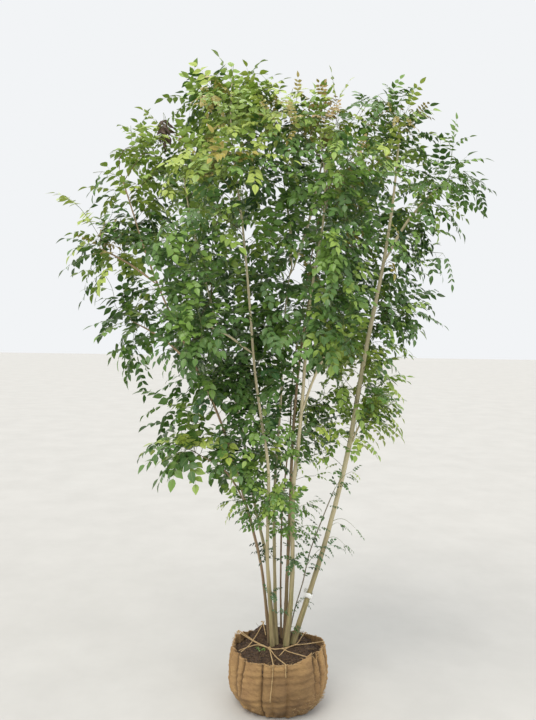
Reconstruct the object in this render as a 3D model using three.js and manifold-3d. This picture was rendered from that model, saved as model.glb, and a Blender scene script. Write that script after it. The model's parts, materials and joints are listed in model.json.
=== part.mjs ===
// A many-stemmed evergreen ash sapling, lifted for sale on its root ball in a tied jute wrap.
// Millimetres, Z up, the picture's side facing -Y. The origin is the middle of the ball's flat underside.

import * as THREE from 'three';
import { mergeVertices } from 'three/addons/utils/BufferGeometryUtils.js';
import Module from 'manifold-3d';

const wasm = await Module();
wasm.setup();
const { Manifold } = wasm;

// Driving dimensions of the root ball
const BALL_RADIUS = 199;
const BALL_HEIGHT = 224;
const FOOT_RADIUS = 146;
const RIM_RADIUS = 184;
const WRAP_THICKNESS = 6;
const SOIL_LEVEL = 208;
const SOIL_FLAT_RADIUS = 84;
const SOIL_FALL = 14;
const BALL_SIDES = 18;
const WIDEST_SHARE = 0.42;
const BELLY_ROUNDNESS = 0.8;
const RIM_DRAW = 1.6;
const RIM_CORNERS = 7;
const RIM_FOLDS = 4;
const FLOOR_INSET = 4;
const SOIL_EDGE_INSET = 2;

// Clearance between pieces that touch, and how much a limb is thickened to cut what lies round it.
// The thickened limb is square, to cut few facets: its corners stand out by the root of two.
const GAP = 0.3;
const LIMB_GROWTH = 0.35;
const CUTTER_SIDES = 4;
const CUTTER_TURN = Math.PI / 4;
const CUTTER_REACH = Math.SQRT2;

// Stems and boughs
const STEM_SIDES = 6;
const STEM_RINGS = 12;
const BOUGH_SIDES = 5;
const BOUGH_RINGS = 4;
const FLARE = 1.28;
const FLARE_HEIGHT = 70;
const TAPER_POWER = 1.15;
const TIP_RADIUS = 2.4;

// Twine and label
const TWINE_RADIUS = 2;
const TWINE_SIDES = 4;
const TWINE_RINGS = 10;
const TWINE_LIFT = 3;
const TWINE_END_HEIGHT = 14;
const TWINE_ANGLES = [-97, -80, 153, 4, -46, 117, 50];
const KNOT_RADIUS = 8;
const KNOT_PLACE = [-36, -26];
const LABEL_RADIUS = 14;
const LABEL_LENGTH = 20;
const LABEL_SIDES = 8;
const LABEL_SHARE = 0.103;

// Masses of leaves: facets of a large and a small one, and how far their lumps reach in and out
const MASS_DETAIL = 2;
const SMALL_MASS_DETAIL = 1;
const SMALL_MASS = 150;
const MASS_UNEVENNESS = 0.21;
const WAVE_COUNT = 7;
const BROADEST_WAVE = 2.5;
const WAVE_STEP = 0.9;

const finish = (color, roughness) => new THREE.MeshStandardMaterial({ color, roughness, metalness: 0 });
const JUTE = finish(0xc49a5c, 0.95);
const TWINE = finish(0xcfae78, 0.9);
const SOIL = finish(0x4a3628, 1);
const PALE_BARK = finish(0x9c8d68, 0.8);
const RED_BARK = finish(0x6f4e3a, 0.8);
const LABEL = finish(0xf2f2ee, 0.5);
const LEAF_GREENS = [0x3f5f2a, 0x4c7030, 0x5d8038, 0x385626].map((colour) => finish(colour, 0.45));

const plant = new THREE.Group();

function point(x, y, z) {
  return new THREE.Vector3(x, y, z);
}

function closedGeometry(vertices, triangles) {
  const geometry = new THREE.BufferGeometry();
  geometry.setAttribute('position', new THREE.BufferAttribute(new Float32Array(vertices), 3));
  geometry.setIndex(triangles);
  return geometry;
}

function toSolid(geometry) {
  const bare = geometry.clone();
  bare.deleteAttribute('normal');
  bare.deleteAttribute('uv');
  const merged = mergeVertices(bare, 0.001);
  const vertProperties = new Float32Array(merged.attributes.position.array);
  const triVerts = new Uint32Array(merged.index.array);
  return new Manifold(new wasm.Mesh({ numProp: 3, vertProperties, triVerts }));
}

function toGeometry(solid) {
  const mesh = solid.getMesh();
  return closedGeometry(mesh.vertProperties, Array.from(mesh.triVerts));
}

function largestPiece(solid) {
  const pieces = solid.decompose();
  return pieces.reduce((best, piece) => (piece.volume() > best.volume() ? piece : best));
}

function addNode(name, geometry, material) {
  const mesh = new THREE.Mesh(geometry, material);
  mesh.name = name;
  plant.add(mesh);
}

// A body of stacked rings: the first and last rows are single points on the axis, and each
// row between gives radius and height at an angle, going up the outside and back down.
function turnedBody(bottomHeight, rows, topHeight, sides) {
  const vertices = [0, 0, bottomHeight];
  for (const row of rows) {
    for (let side = 0; side < sides; side += 1) {
      const angle = (side / sides) * 2 * Math.PI;
      const { radius, height } = row(angle);
      vertices.push(radius * Math.cos(angle), radius * Math.sin(angle), height);
    }
  }
  vertices.push(0, 0, topHeight);
  const last = vertices.length / 3 - 1;
  const triangles = [];
  for (let side = 0; side < sides; side += 1) {
    const next = (side + 1) % sides;
    triangles.push(0, 1 + next, 1 + side);
    for (let row = 0; row < rows.length - 1; row += 1) {
      const low = 1 + row * sides;
      const high = low + sides;
      triangles.push(low + side, low + next, high + next);
      triangles.push(low + side, high + next, high + side);
    }
    const top = last - sides;
    triangles.push(top + side, top + next, last);
  }
  return closedGeometry(vertices, triangles);
}

// How far the wrap's outside stands from the axis: a soft barrel that draws in to the foot and the rim
function barrelRadius(height) {
  const rise = height / BALL_HEIGHT;
  const belly = Math.sin(Math.min(1, rise / WIDEST_SHARE) * Math.PI / 2) ** BELLY_ROUNDNESS;
  const draw = Math.max(0, (rise - WIDEST_SHARE) / (1 - WIDEST_SHARE)) ** RIM_DRAW;
  return FOOT_RADIUS + (BALL_RADIUS - FOOT_RADIUS) * belly - (BALL_RADIUS - RIM_RADIUS) * draw;
}

// The rim stands higher at the left and right corners and dips in front, with soft folds between
function rimHeight(angle) {
  const corners = RIM_CORNERS * Math.cos(2 * angle);
  const folds = RIM_FOLDS * Math.sin(5 * angle + 0.6);
  return BALL_HEIGHT + corners + folds;
}

const OUTER_HEIGHTS = [0, 0.1, 0.25, 0.45, 0.75].map((share) => share * BALL_HEIGHT);
const FLOOR_RADIUS = barrelRadius(WRAP_THICKNESS) - WRAP_THICKNESS - FLOOR_INSET;

// The wrap is a cup with a thick wall and an uneven rim; growth thickens it to cut what lies on it
function wrapBody(growth) {
  const innerRadius = (height) => barrelRadius(height) - WRAP_THICKNESS - growth;
  const outside = OUTER_HEIGHTS.map((height) => () => ({ radius: barrelRadius(height) + growth, height }));
  const rimOutside = (angle) => ({ radius: RIM_RADIUS + growth, height: rimHeight(angle) + growth });
  const rimInside = (angle) => ({
    radius: RIM_RADIUS - WRAP_THICKNESS - growth,
    height: rimHeight(angle) + growth,
  });
  const insideHeights = OUTER_HEIGHTS.slice(1).reverse();
  const inside = insideHeights.map((height) => () => ({ radius: innerRadius(height), height }));
  const floor = () => ({ radius: FLOOR_RADIUS, height: WRAP_THICKNESS });
  const rows = [...outside, rimOutside, rimInside, ...inside, floor];
  return turnedBody(0, rows, WRAP_THICKNESS, BALL_SIDES);
}

// The soil fills the cup and rises to a level patch where the stems stand
function soilBody(growth) {
  const fit = WRAP_THICKNESS + GAP * 1.2;
  const floor = () => ({ radius: FLOOR_RADIUS - GAP, height: WRAP_THICKNESS + GAP });
  const wall = OUTER_HEIGHTS.slice(1).map((height) => () => ({ radius: barrelRadius(height) - fit, height }));
  const edgeRadius = RIM_RADIUS - fit - SOIL_EDGE_INSET;
  const edge = () => ({ radius: edgeRadius, height: SOIL_LEVEL - SOIL_FALL + growth });
  const flat = () => ({ radius: SOIL_FLAT_RADIUS, height: SOIL_LEVEL + growth });
  return turnedBody(WRAP_THICKNESS + GAP, [floor, ...wall, edge, flat], SOIL_LEVEL + growth, BALL_SIDES);
}

function rootBall() {
  addNode('burlap_wrap', wrapBody(0), JUTE);
  addNode('root_ball_soil', soilBody(0), SOIL);
  return [wrapBody(GAP), soilBody(GAP)].map(toSolid);
}

// A tapering limb along a smooth route: rings square to the route, the first one level when it stands
function limbGeometry(route, radiusAt, sides, rings, levelFoot, turn = 0) {
  const curve = new THREE.CatmullRomCurve3(route, false, 'centripetal');
  const span = route[route.length - 1].clone().sub(route[0]);
  const upright = Math.abs(span.z) > Math.hypot(span.x, span.y);
  const reference = upright ? point(0, 1, 0) : point(0, 0, 1);
  const vertices = [];
  const centres = [];
  for (let ring = 0; ring <= rings; ring += 1) {
    const share = ring / rings;
    const centre = curve.getPointAt(share);
    const along = levelFoot && ring === 0 ? point(0, 0, 1) : curve.getTangentAt(share);
    const side = reference.clone().cross(along).normalize();
    const up = along.clone().cross(side);
    const radius = radiusAt(share, centre);
    for (let step = 0; step < sides; step += 1) {
      const angle = (step / sides) * 2 * Math.PI + turn;
      const offset = side.clone().multiplyScalar(radius * Math.cos(angle));
      offset.addScaledVector(up, radius * Math.sin(angle));
      vertices.push(...centre.clone().add(offset).toArray());
    }
    centres.push(centre);
  }
  const footCentre = vertices.length / 3;
  vertices.push(...centres[0].toArray(), ...centres[rings].toArray());
  const triangles = [];
  for (let step = 0; step < sides; step += 1) {
    const next = (step + 1) % sides;
    triangles.push(footCentre, next, step);
    for (let ring = 0; ring < rings; ring += 1) {
      const low = ring * sides;
      const high = low + sides;
      triangles.push(low + step, low + next, high + next);
      triangles.push(low + step, high + next, high + step);
    }
    triangles.push(footCentre + 1, rings * sides + step, rings * sides + next);
  }
  return closedGeometry(vertices, triangles);
}

// Stems: name, bark, radius above the flare, foot, then the points that its bends need, up to the tip
const FOOT = SOIL_LEVEL + GAP;
const STEMS = [
  ['stem_outer_left', RED_BARK, 6.6, [[-34, 34, FOOT], [-54, 20, 400], [-76, 5, 570], [-140, -18, 805],
    [-236, -50, 1130], [-360, -70, 1390], [-500, -80, 1690], [-600, -60, 1980], [-645, -40, 2110]]],
  ['stem_back_left', PALE_BARK, 7.2, [[-16, 56, FOOT], [-34, 60, 400], [-50, 62, 560], [-84, 78, 680],
    [-117, 95, 830], [-172, 140, 1120], [-225, 180, 1330], [-330, 230, 1700], [-420, 270, 2060],
    [-450, 280, 2290]]],
  ['stem_front_left', PALE_BARK, 7.8, [[-23, 8, FOOT], [-36, -8, 400], [-51, -26, 590], [-46, -58, 860],
    [-54, -82, 1040], [-80, -96, 1145], [-112, -125, 1370], [-130, -150, 1610], [-170, -150, 1970],
    [-215, -80, 2270], [-210, -10, 2480]]],
  ['stem_middle', PALE_BARK, 8, [[-7, 26, FOOT], [-15, 26, 400], [-20, 25, 590], [-24, 25, 800],
    [-20, 24, 950], [-3, 22, 1195], [0, 20, 1375], [12, 18, 1615], [27, 18, 1735]]],
  ['stem_thin_back', RED_BARK, 4, [[14, 72, FOOT], [8, 78, 420], [8, 95, 600], [11, 120, 770],
    [42, 160, 1075], [45, 190, 1270], [90, 250, 1590], [160, 290, 2000], [235, 310, 2290]]],
  ['stem_red', RED_BARK, 8, [[27, 50, FOOT], [36, 52, 560], [42, 55, 810], [48, 62, 1050],
    [75, 78, 1400], [130, 110, 1750], [190, 120, 2100], [215, 110, 2290]]],
  ['stem_pale', PALE_BARK, 10.4, [[32, 14, FOOT], [50, -4, 410], [53, -15, 600], [47, -34, 790],
    [50, -42, 900], [68, -60, 1060], [77, -76, 1185], [84, -105, 1375], [105, -165, 1680],
    [150, -190, 1970], [125, -120, 2230]]],
  ['stem_right', PALE_BARK, 11.2, [[58, 36, FOOT], [117, 14, 410], [174, 4, 600], [219, 0, 790],
    [264, 0, 980], [294, 0, 1175], [334, 0, 1440], [382, 0, 1685], [432, 10, 2030], [452, 20, 2330]]],
  ['stem_whip', RED_BARK, 2.6, [[42, 60, FOOT], [66, 42, 350], [97, 2, 480], [117, -15, 595],
    [162, -38, 735], [186, -40, 800], [216, -40, 875]]],
];

// Boughs: name, bark, foot radius, tip radius, and the route from the stem to inside its mass
const BOUGHS = [
  ['bough_fork_left', PALE_BARK, 7, 4, [[28, 20, 1742], [26, 32, 1880], [0, 55, 2060]]],
  ['bough_fork_right', PALE_BARK, 7, 4, [[36, 18, 1742], [80, 24, 1860], [118, 45, 2000], [150, 40, 2180]]],
  ['bough_pale_fork', PALE_BARK, 6, 4, [[78, -79, 1172], [112, -100, 1290], [190, -170, 1470]]],
  ['bough_upper_right', PALE_BARK, 7, 4, [[400, 2, 1765], [480, 10, 1920], [620, 5, 2080]]],
  ['bough_far_left', RED_BARK, 4.5, 3, [[-488, -80, 1660], [-600, -70, 1740], [-720, -45, 1800]]],
  ['bough_lower_left', RED_BARK, 5, 3, [[-330, -68, 1320], [-450, -50, 1440], [-600, -10, 1520]]],
  ['bough_wing', RED_BARK, 4.5, 3, [[-143, -20, 808], [-220, -15, 930], [-330, 0, 990]]],
  ['bough_skirt_right', PALE_BARK, 4.5, 3, [[270, 0, 1020], [300, 2, 1090], [335, 0, 1170]]],
  ['bough_front_left', PALE_BARK, 5, 3, [[-115, -130, 1400], [-210, -180, 1470], [-300, -215, 1510]]],
  ['bough_back_left', PALE_BARK, 5, 3, [[-210, 170, 1270], [-255, 195, 1360], [-300, 225, 1450]]],
  ['bough_back_right', RED_BARK, 4, 3, [[48, 200, 1310], [120, 220, 1410], [200, 235, 1490]]],
];

// Masses of leaves, top to hem: name, middle [x, y, z], half size [x, y, z], lean in the picture in degrees
const MASSES = [
  ['leaves_top_left', [-270, 20, 2385], [190, 165, 165], -10],
  ['leaves_top_sprig', [-85, 50, 2445], [80, 90, 115], 15],
  ['leaves_top_middle', [95, -20, 2265], [215, 160, 150], 0],
  ['leaves_top_right', [430, 20, 2290], [190, 160, 150], 0],
  ['leaves_upper_left', [-500, 10, 2180], [175, 160, 165], 30],
  ['leaves_left_shoulder', [-665, -60, 2040], [120, 95, 75], 20],
  ['leaves_right_shoulder', [630, 0, 2060], [165, 140, 115], -15],
  ['leaves_upper_front_left', [-225, -300, 2080], [215, 150, 165], 0],
  ['leaves_upper_front_right', [225, -300, 2050], [215, 150, 165], 0],
  ['leaves_upper_back_left', [-290, 330, 2110], [240, 160, 190], 10],
  ['leaves_upper_back_right', [270, 340, 2090], [240, 160, 190], -10],
  ['leaves_upper_heart', [-20, 30, 2080], [190, 150, 160], 0],
  ['leaves_middle_left', [-585, 30, 1870], [205, 175, 155], 15],
  ['leaves_far_left', [-750, -40, 1770], [85, 90, 125], -15],
  ['leaves_middle_front_left', [-310, -330, 1790], [205, 150, 165], 10],
  ['leaves_middle_back_left', [-320, 350, 1790], [240, 160, 185], 10],
  ['leaves_middle_front_right', [225, -330, 1770], [205, 150, 165], -10],
  ['leaves_middle_back_right', [250, 360, 1770], [235, 155, 185], -10],
  ['leaves_middle_right', [480, 10, 1860], [195, 175, 170], -15],
  ['leaves_right_hanging', [670, -20, 1800], [75, 75, 185], 5],
  ['leaves_heart', [-110, 20, 1760], [185, 140, 175], 0],
  ['leaves_lower_left', [-575, 0, 1510], [155, 140, 190], -15],
  ['leaves_lower_front_left', [-345, -260, 1500], [190, 145, 165], 10],
  ['leaves_lower_back_left', [-310, 280, 1480], [215, 150, 175], 10],
  ['leaves_lower_front_right', [185, -250, 1490], [180, 140, 155], -10],
  ['leaves_lower_back_right', [235, 290, 1480], [205, 145, 175], -10],
  ['leaves_lower_right', [440, 0, 1590], [155, 145, 175], 10],
  ['leaves_lower_heart', [-70, -20, 1450], [165, 135, 175], 0],
  ['leaves_skirt_left', [-360, -10, 1260], [145, 110, 105], 15],
  ['leaves_wing', [-375, 0, 1010], [180, 120, 155], -10],
  ['leaves_skirt_front', [-120, -80, 1140], [140, 120, 175], 0],
  ['leaves_skirt_back', [95, 130, 1180], [150, 125, 180], 0],
  ['leaves_skirt_right', [335, 0, 1190], [145, 120, 150], 0],
  ['leaves_hem', [-100, -20, 850], [135, 100, 120], 5],
  ['leaves_hem_right', [130, -10, 950], [95, 85, 90], 0],
];

function limbCutter(route, radiusAt, rings, levelFoot) {
  const cutterRadius = (share, centre) => CUTTER_REACH * (radiusAt(share, centre) + LIMB_GROWTH);
  return toSolid(limbGeometry(route, cutterRadius, CUTTER_SIDES, rings, levelFoot, CUTTER_TURN));
}

function stemRadius(radius) {
  return (share, centre) => {
    const taper = THREE.MathUtils.lerp(radius, TIP_RADIUS, share ** TAPER_POWER);
    const nearFoot = Math.max(0, 1 - (centre.z - FOOT) / FLARE_HEIGHT);
    return taper * (1 + (FLARE - 1) * nearFoot ** 2);
  };
}

function allStems() {
  return STEMS.map(([name, bark, radius, rows]) => {
    const route = rows.map((row) => point(...row));
    const radiusAt = stemRadius(radius);
    addNode(name, limbGeometry(route, radiusAt, STEM_SIDES, STEM_RINGS, true), bark);
    return limbCutter(route, radiusAt, STEM_RINGS, true);
  });
}

function allBoughs(cutters) {
  for (const [name, bark, footRadius, tipRadius, rows] of BOUGHS) {
    const route = rows.map((row) => point(...row));
    const radiusAt = (share) => THREE.MathUtils.lerp(footRadius, tipRadius, share);
    const whole = toSolid(limbGeometry(route, radiusAt, BOUGH_SIDES, BOUGH_RINGS, false));
    const cut = cutters.reduce((left, cutter) => left.subtract(cutter), whole);
    addNode(name, toGeometry(largestPiece(cut)), bark);
    cutters.push(limbCutter(route, radiusAt, BOUGH_RINGS, false));
  }
}

// A small repeatable source of numbers between 0 and 1
const SEED_STRIDE = 7919;
const SEED_START = 17;
const MULTIPLIER = 16807;
const MODULUS = 2147483647;
function seededNumbers(seed) {
  let state = seed * SEED_STRIDE + SEED_START;
  return () => {
    state = (state * MULTIPLIER) % MODULUS;
    return state / MODULUS;
  };
}

// The broad and narrow waves that make one mass uneven in its own way
function massWaves(seed) {
  const next = seededNumbers(seed);
  const waves = [];
  for (let wave = 0; wave < WAVE_COUNT; wave += 1) {
    const direction = point(next() - 0.5, next() - 0.5, next() - 0.5).normalize();
    waves.push({ direction, pitch: BROADEST_WAVE + wave * WAVE_STEP, phase: 2 * Math.PI * next() });
  }
  return waves;
}

// The planes that part a mass from its neighbours, each set where the two would meet
function partingPlanes(own) {
  const planes = [];
  const others = MASSES.filter((mass) => mass !== own);
  for (const other of others) {
    const away = point(...other[1]).sub(point(...own[1]));
    const distance = away.length();
    away.normalize();
    const reach = (half) => 1 / Math.hypot(away.x / half[0], away.y / half[1], away.z / half[2]);
    const share = reach(own[2]) / (reach(own[2]) + reach(other[2]));
    planes.push({ away, limit: distance * share - GAP / 2 });
  }
  return planes;
}

// An uneven blob: a ball of facets pushed in and out by its waves, and held behind the parting planes
function massGeometry(mass, seed) {
  const [, middle, half, leanDegrees] = mass;
  const waves = massWaves(seed);
  const detail = Math.min(...half) < SMALL_MASS ? SMALL_MASS_DETAIL : MASS_DETAIL;
  const ball = new THREE.IcosahedronGeometry(1, detail);
  const positions = ball.attributes.position;
  const planes = partingPlanes(mass);
  const lean = new THREE.Matrix4().makeRotationY(THREE.MathUtils.degToRad(leanDegrees));
  const vertex = point(0, 0, 0);
  for (let index = 0; index < positions.count; index += 1) {
    vertex.fromBufferAttribute(positions, index);
    let push = 0;
    for (const { direction, pitch, phase } of waves) {
      push += Math.sin(pitch * vertex.dot(direction) + phase) / Math.sqrt(waves.length);
    }
    vertex.multiplyScalar(1 + MASS_UNEVENNESS * push);
    vertex.multiply(point(...half)).applyMatrix4(lean);
    for (const { away, limit } of planes) {
      const reach = vertex.dot(away);
      vertex.multiplyScalar(reach > limit ? limit / reach : 1);
    }
    positions.setXYZ(index, vertex.x, vertex.y, vertex.z);
  }
  return ball.translate(...middle);
}

function allMasses(cutters) {
  MASSES.forEach((mass, index) => {
    const whole = toSolid(massGeometry(mass, index + 1));
    const cut = cutters.reduce((left, cutter) => left.subtract(cutter), whole);
    addNode(mass[0], toGeometry(largestPiece(cut)), LEAF_GREENS[index % LEAF_GREENS.length]);
  });
}

// Twine: from the knot in front of the stems, over the soil to the rim at an angle, and down the outside
const KNOT = point(...KNOT_PLACE, SOIL_LEVEL + KNOT_RADIUS + GAP);

function twineRoute(degrees) {
  const angle = THREE.MathUtils.degToRad(degrees);
  const around = (radius, height) => point(radius * Math.cos(angle), radius * Math.sin(angle), height);
  const wall = TWINE_RADIUS + TWINE_LIFT;
  const top = rimHeight(angle) + TWINE_LIFT;
  const rimInside = around(RIM_RADIUS - WRAP_THICKNESS - wall, top);
  const rimOutside = around(RIM_RADIUS + wall, top);
  const heights = [0.7 * BALL_HEIGHT, 0.45 * BALL_HEIGHT, 0.2 * BALL_HEIGHT, TWINE_END_HEIGHT];
  const down = heights.map((height) => around(barrelRadius(height) + wall, height));
  return [KNOT.clone(), rimInside, rimOutside, ...down];
}

function twine(cutters) {
  let net = toSolid(new THREE.IcosahedronGeometry(KNOT_RADIUS, 0).translate(...KNOT.toArray()));
  for (const degrees of TWINE_ANGLES) {
    const strand = limbGeometry(twineRoute(degrees), () => TWINE_RADIUS, TWINE_SIDES, TWINE_RINGS, false);
    net = net.add(toSolid(strand));
  }
  const cut = cutters.reduce((left, cutter) => left.subtract(cutter), net);
  addNode('ball_twine', toGeometry(largestPiece(cut)), TWINE);
}

// The plain white band tied round the right stem, a hand's breadth above the soil
function stemLabel() {
  const [, , radius, rows] = STEMS.find(([name]) => name === 'stem_right');
  const route = rows.map((row) => point(...row));
  const curve = new THREE.CatmullRomCurve3(route, false, 'centripetal');
  const band = new THREE.CylinderGeometry(LABEL_RADIUS, LABEL_RADIUS, LABEL_LENGTH, LABEL_SIDES);
  const along = curve.getTangentAt(LABEL_SHARE);
  band.applyQuaternion(new THREE.Quaternion().setFromUnitVectors(point(0, 1, 0), along));
  band.translate(...curve.getPointAt(LABEL_SHARE).toArray());
  const radiusAt = stemRadius(radius);
  const grownRadius = (share, centre) => radiusAt(share, centre) + LIMB_GROWTH;
  const stem = toSolid(limbGeometry(route, grownRadius, STEM_SIDES, STEM_RINGS, true));
  addNode('stem_label', toGeometry(toSolid(band).subtract(stem)), LABEL);
}

const ballCutters = rootBall();
const cutters = allStems();
twine([...ballCutters, ...cutters]);
stemLabel();
allBoughs(cutters);
allMasses(cutters);

export default plant;
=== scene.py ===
import json
import math
import random

import bpy
import numpy as np
from mathutils import Matrix, Vector
from mathutils.bvhtree import BVHTree


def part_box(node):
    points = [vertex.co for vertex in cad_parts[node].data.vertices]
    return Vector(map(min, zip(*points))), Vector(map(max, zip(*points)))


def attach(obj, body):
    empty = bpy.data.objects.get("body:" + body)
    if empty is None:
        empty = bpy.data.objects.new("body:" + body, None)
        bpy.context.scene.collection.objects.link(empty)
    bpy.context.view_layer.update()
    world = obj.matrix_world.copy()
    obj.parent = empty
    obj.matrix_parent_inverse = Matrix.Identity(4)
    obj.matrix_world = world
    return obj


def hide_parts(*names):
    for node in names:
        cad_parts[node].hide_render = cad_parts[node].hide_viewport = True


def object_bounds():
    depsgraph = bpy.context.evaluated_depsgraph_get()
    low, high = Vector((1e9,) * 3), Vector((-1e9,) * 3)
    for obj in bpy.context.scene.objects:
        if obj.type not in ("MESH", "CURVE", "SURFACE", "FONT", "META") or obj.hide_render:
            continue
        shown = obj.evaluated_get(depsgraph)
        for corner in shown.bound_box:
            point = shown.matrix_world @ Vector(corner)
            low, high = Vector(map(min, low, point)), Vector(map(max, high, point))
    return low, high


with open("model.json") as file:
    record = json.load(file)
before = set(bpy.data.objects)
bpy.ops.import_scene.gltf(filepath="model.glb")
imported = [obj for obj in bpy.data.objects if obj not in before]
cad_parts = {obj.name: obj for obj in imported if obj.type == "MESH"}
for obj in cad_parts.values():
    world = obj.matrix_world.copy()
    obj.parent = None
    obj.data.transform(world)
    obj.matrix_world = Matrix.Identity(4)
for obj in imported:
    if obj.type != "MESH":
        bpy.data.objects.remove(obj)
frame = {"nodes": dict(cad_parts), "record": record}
cad_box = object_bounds()
NODES = frame["nodes"]
STEM_NAMES = sorted(name for name in NODES if name.startswith("stem_") and name != "stem_label")
BOUGH_NAMES = sorted(name for name in NODES if name.startswith("bough_"))
MASS_NAMES = sorted(name for name in NODES if name.startswith("leaves_"))
UP = np.array([0.0, 0.0, 1.0])


def show(name, data):
    """A new object with its data, linked into the scene."""
    shown = bpy.data.objects.new(name, data)
    bpy.context.scene.collection.objects.link(shown)
    return shown


# Camera: where it stands, in metres, and how far its lens looks down and leans, in degrees
LENS_MM = 35
SENSOR_MM = 36
CAMERA_PLACE = (-0.057, -2.78, 1.483)
CAMERA_DOWN = 2.3
CAMERA_ROLL = 0.8


def make_camera():
    data = bpy.data.cameras.new("camera")
    data.lens = LENS_MM
    data.sensor_fit = "VERTICAL"
    data.sensor_height = SENSOR_MM
    camera = show("camera", data)
    pitch = Matrix.Rotation(math.radians(90 - CAMERA_DOWN), 4, "X")
    roll = Matrix.Rotation(math.radians(CAMERA_ROLL), 4, "Z")
    camera.matrix_world = Matrix.Translation(CAMERA_PLACE) @ pitch @ roll
    bpy.context.scene.camera = camera


make_camera()


# Materials

# Sockets that share a name, by number: a Mix node's for colours and for numbers, a Math node's two, and a
# Random Value node's for vectors and for numbers
MIX_FACTOR, MIX_A, MIX_B, MIX_COLOUR = 0, 6, 7, 2
MIX_LOW, MIX_HIGH = 2, 3
FIRST, SECOND = 0, 1
VECTOR_FROM, VECTOR_TO = 0, 1
NUMBER_FROM, NUMBER_TO, NUMBER_OUT = 2, 3, 1

# How many streaks, patches of film and pores lie in a metre of bark, across it twice and along it: their real
# sizes are about 4 by 70 mm, 11 by 110 mm and 2.4 by 6 mm
STREAKS_PER_METRE = (260, 260, 14)
PATCHES_PER_METRE = (90, 90, 9)
PORES_PER_METRE = (420, 420, 170)
# How many stains lie in a metre of cloth, about 90 mm each, and slubs, about 14 mm long and under 2 mm high
STAINS_PER_METRE = 11.0
SLUBS_PER_METRE = (70, 70, 600)


def colour(code):
    """An sRGB hex colour as linear red, green, blue and alpha."""
    channels = [int(code[place : place + 2], 16) / 255 for place in (1, 3, 5)]
    linear = [c / 12.92 if c <= 0.04045 else ((c + 0.055) / 1.055) ** 2.4 for c in channels]
    return (*linear, 1.0)


def add(tree, kind, inputs=None, **settings):
    """Adds one node: settings are its own options, inputs are values or the outputs that feed it."""
    node = tree.nodes.new(kind)
    for name, value in settings.items():
        setattr(node, name, value)
    for key, value in (inputs or {}).items():
        if isinstance(value, bpy.types.NodeSocket):
            tree.links.new(value, node.inputs[key])
        else:
            node.inputs[key].default_value = value
    return node


def start_material(name, **sockets):
    """A new material with one Principled shader, whose plain sockets are given by name."""
    material = bpy.data.materials.new(name)
    material.use_nodes = True
    tree = material.node_tree
    for socket, value in sockets.items():
        tree.nodes["Principled BSDF"].inputs[socket.replace("_", " ")].default_value = value
    return material, tree


def lay_colours(tree, base, layers):
    """Lays colours over a base: what rules each, from and to where it comes in, its strength, its tone."""
    surface = colour(base)
    for ruler, start, full, strength, tone in layers:
        share = add(
            tree, "ShaderNodeMapRange",
            {"Value": ruler, "From Min": start, "From Max": full, "To Max": strength},
        ).outputs[0]
        surface = add(
            tree, "ShaderNodeMix",
            {MIX_FACTOR: share, MIX_A: surface, MIX_B: colour(tone)}, data_type="RGBA",
        ).outputs[MIX_COLOUR]
    return surface


def finish_surface(tree, surface, relief, strength, depth):
    """Gives the shader its colour, and a relief whose depth is in metres."""
    shader = tree.nodes["Principled BSDF"]
    bump = add(tree, "ShaderNodeBump", {"Height": relief, "Strength": strength, "Distance": depth})
    tree.links.new(surface, shader.inputs["Base Color"])
    tree.links.new(bump.outputs[0], shader.inputs["Normal"])


def waxy_leaf(name, code, roughness=0.34):
    """Evergreen ash leaf: a thick, smooth, waxy blade, so it is evenly coloured and catches soft glints."""
    return start_material(name, Base_Color=colour(code), Roughness=roughness, IOR=1.45)[0]


def young_bark(name, base, streak, film, pore, upper, lit_upper_share):
    """Young ash bark: thin, smooth and streaked, with small pale pores; a green film below, and paler above,
    partly painted light.
    """
    material, tree = start_material(name, Roughness=0.72, IOR=1.45)
    along = add(tree, "ShaderNodeAttribute", attribute_name="along_limb").outputs["Vector"]
    fine, wide, dotted = [
        add(tree, "ShaderNodeMapping", {"Vector": along, "Scale": per_metre}).outputs[0]
        for per_metre in (STREAKS_PER_METRE, PATCHES_PER_METRE, PORES_PER_METRE)
    ]
    streaks = add(tree, "ShaderNodeTexNoise", {"Vector": fine, "Scale": 1.0, "Detail": 4.0}).outputs[0]
    patches = add(tree, "ShaderNodeTexNoise", {"Vector": wide, "Scale": 1.0, "Detail": 2.0}).outputs[0]
    pores = add(tree, "ShaderNodeTexVoronoi", {"Vector": dotted, "Scale": 1.0}).outputs["Distance"]
    place = add(tree, "ShaderNodeTexCoord").outputs["Object"]
    height = add(tree, "ShaderNodeSeparateXYZ", {"Vector": place}).outputs["Z"]
    layers = (
        (streaks, 0.35, 0.65, 1.0, streak),
        (patches, 0.48, 0.68, 0.75, film),
        (pores, 0.2, 0.1, 0.7, pore),
        # Paler with height: partly the younger bark's own tone, partly painted light against the crown's shade
        (height, 0.4, 0.95, lit_upper_share, upper),
    )
    finish_surface(tree, lay_colours(tree, base, layers), streaks, 0.5, 0.0008)
    return material


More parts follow.
